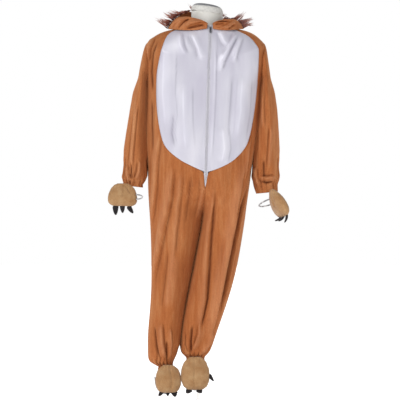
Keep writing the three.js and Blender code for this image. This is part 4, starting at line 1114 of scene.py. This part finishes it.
# How much fuller than its solid each cover is stuffed, before the cloth is simulated.
PAD_FULLER = {"paw_left": 1.0, "paw_right": 2.5, "foot_left": 4.5, "foot_right": 5.0}
GROOVE = 3.4 * MM  # depth and half width of a cover's seam
GROOVE_WIDE = 4 * MM
EDGE_DIP = 1.6 * MM  # how far the seam round a cover's edge draws in
PUCKER = 1.6 * MM  # height of the small gathers at a cover's top
PUCKER_WIDE = 2.2 * MM
PUCKER_LONG = 16 * MM


def pad_axes(points):
    """A cover's own axes: across it, down it and out of its front."""
    across, down, out = np.linalg.svd(points - points.mean(axis=0), full_matrices=False)[2]
    if abs(across[2]) > abs(down[2]):
        across, down = down, across
    return across * np.sign(across[0]), down * -np.sign(down[2]), out * -np.sign(out[1] or 1)


def pad(name, material):
    """A stuffed cover: swollen from its solid, then drawn in along its seams."""
    piece = copy_of(name, "_stuffed")
    apply_modifier(piece, "DISPLACE", strength=PAD_FULLER[name] * MM, mid_level=0)
    apply_modifier(piece, "REMESH", mode="VOXEL", voxel_size=PAD_VOXEL)
    swell(piece)
    subdivide(piece, 1)
    points = points_of(piece.data)
    axes = pad_axes(points)
    wide, down, deep = ((points - points.mean(axis=0)) @ np.stack(axes).T).T
    half = abs(wide).max()
    length = down.max() - down.min()
    down = down - down.min()
    bow = np.sin(math.pi * np.clip(down / length, 0.15, 1) / 1.2)
    depth = -PUCKER * hump(down / PUCKER_LONG) * np.cos(wide / PUCKER_WIDE)
    for place, reach in PAD_SEAMS[name]:
        run = soft_step((reach * length - down) / (12 * MM))
        depth += GROOVE * hump((wide - place * half * bow) / GROOVE_WIDE) * run
    edge = EDGE_DIP * hump(deep / (3 * MM)) * soft_step((abs(wide) / half - 0.3) / 0.3)
    points -= (depth * np.sign(deep))[:, None] * axes[2]
    points -= (edge * np.sign(wide))[:, None] * axes[0]
    move_points(piece.data, points)
    smooth_shaded(piece)
    stand_in(piece, name, material)


def trim(name, suffix, material, levels, angle, swell_by=0):
    """A small piece made smooth from its solid."""
    piece = copy_of(name, suffix)
    hold_edges(piece, angle)
    if swell_by:
        apply_modifier(piece, "DISPLACE", strength=swell_by * MM, mid_level=0)
    subdivide(piece, levels)
    smooth_shaded(piece, 40)
    stand_in(piece, name, material)


CAP_SINK = 1.5  # how much taller the cap is drawn, downwards, so that it closes on the neck


def cap(material):
    """The neck cap, with its underside let down into the neck."""
    piece = copy_of("neck_cap", "_vinyl")
    points = points_of(piece.data)
    top = points[:, 2].max()
    points[:, 2] = top - (top - points[:, 2]) * CAP_SINK
    move_points(piece.data, points)
    hold_edges(piece, 80)
    subdivide(piece, 2)
    smooth_shaded(piece, 40)
    stand_in(piece, "neck_cap", material)


ROOT_DEPTH = 7 * MM  # how far a claw's root is sunk into its cover's seam
ROOT_LONG = 6 * MM  # the points this close to the cover are the root
CLAW_FULLER = 2.6 * MM


def claw(name, cover, material):
    """A felt claw whose root reaches into the cover's seam."""
    piece = copy_of(name, "_felt")
    points = points_of(piece.data)
    middle = points_of(NODES[cover].data).mean(axis=0)
    far = np.linalg.norm(points - middle, axis=1)
    tip, root = points[far.argmax()], points[far < far.min() + ROOT_LONG].mean(axis=0)
    length = np.linalg.norm(tip - root)
    share = np.clip(1 - ((points - root) @ ((tip - root) / length)) / length, 0, 1)
    inward = (middle - root) / np.linalg.norm(middle - root)
    move_points(piece.data, points + ROOT_DEPTH * (share**2)[:, None] * inward)
    apply_modifier(piece, "DISPLACE", strength=CLAW_FULLER, mid_level=0)
    hold_edges(piece, 120)
    subdivide(piece, 2)
    smooth_shaded(piece, 40)
    stand_in(piece, name, material)


def bevelled(name, suffix, material, width, body=WORN):
    """A hard piece, with its edges rounded."""
    piece = copy_of(name, suffix)
    apply_modifier(piece, "BEVEL", width=width * MM, segments=2, limit_method="ANGLE")
    smooth_shaded(piece, 40)
    stand_in(piece, name, material, body)


# ---- The zip's coil ----
COIL_PITCH = 2.8 * MM  # coarser than the real 1.5 mm, so that it shows
COIL_TURN = (2.0 * MM, 0.9 * MM, 1.5 * MM)  # a turn's width, height and depth
COIL_OFF = 1.1 * MM  # from the chain's middle to a turn's
COIL_SUNK = 0.3 * MM
COIL_ENDS = (6 * MM, 36 * MM)  # how far the coil stops from the chain's top and the slit's foot
BOX = ((0, 1, 3, 2), (4, 6, 7, 5), (0, 4, 5, 1), (2, 3, 7, 6), (1, 5, 7, 3), (0, 2, 6, 4))


def coil(material):
    """Turns of the nylon coil, one after another down each side of the chain."""
    levels = points_of(NODES["zip_teeth"].data)[:, 2]
    turns = np.arange(levels.max() - COIL_ENDS[0], SLIT[1] + COIL_ENDS[1], -COIL_PITCH)
    verts, faces = [], []
    width, height, depth = COIL_TURN
    for z, x, y in zip(turns, *zip_middle(turns)):
        for side in (-1, 1):
            first = len(verts)
            cx, cz = x + side * COIL_OFF, z + side * COIL_PITCH / 4
            for a in (-1, 1):
                for b in (-1, 1):
                    verts.append((cx + a * width / 2, y + COIL_SUNK, cz + b * height / 2))
                    verts.append((cx + a * width / 3, y - depth / 3, cz + b * height / 3))
            faces += [tuple(first + k for k in quad) for quad in BOX]
    mesh = bpy.data.meshes.new("zip_coil")
    mesh.from_pydata(verts, [], faces)
    piece = bpy.data.objects.new("zip_coil", mesh)
    bpy.context.collection.objects.link(piece)
    piece.data.materials.append(material)
    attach(piece, WORN)


def dressed_as_is(name, material):
    """Gives a frame node that shows as it is its material."""
    NODES[name].data.materials.clear()
    NODES[name].data.materials.append(material)


# ---- Building it ----
add_camera()
add_stage()

plush, satin, fur = velour(), shiny_tricot(), long_pile()
paw_cloth, felt, elastic = brushed_plush(), pressed_felt(), woven_elastic()
tape, nylon, zinc = twill_tape(), moulded_nylon(), enamelled_zinc()
jersey, vinyl, paint = form_jersey(), cap_vinyl(), powder_coat()

for side in SIDES:
    panel(f"front_{side}", plush, 3)
    panel(f"back_{side}", plush, 3)
    panel(f"belly_{side}", satin, 3)
    panel(f"sleeve_{side}", plush, 3)
    hood_piece(f"hood_flap_{side}", plush, 3, HOOD_FOLDS[side])
    hood_piece(f"hood_{side}", plush, 3, POUCH_FOLDS)
    mane(side, fur)
    trim(f"hand_loop_{side}", "_band", elastic, 2, 60, swell_by=3)
    trim(f"foot_strap_{side}", "_band", elastic, 2, 60, swell_by=2)
    for limb in ("paw", "foot"):
        pad(f"{limb}_{side}", paw_cloth)
        for number in (1, 2, 3):
            claw(f"{limb}_{side}_claw_{number}", f"{limb}_{side}", felt)
    dressed_as_is(f"zip_tape_{side}", tape)

dressed_as_is("zip_teeth", tape)
coil(nylon)
bevelled("zip_slider", "_enamelled", zinc, 0.5)
bevelled("zip_pull_tab", "_enamelled", zinc, 0.3, "pull_tab")
trim("form_torso", "_jersey", jersey, 2, 80)
cap(vinyl)
bevelled("stand_pole", "_coated", paint, 1)
bevelled("stand_base", "_coated", paint, 1)
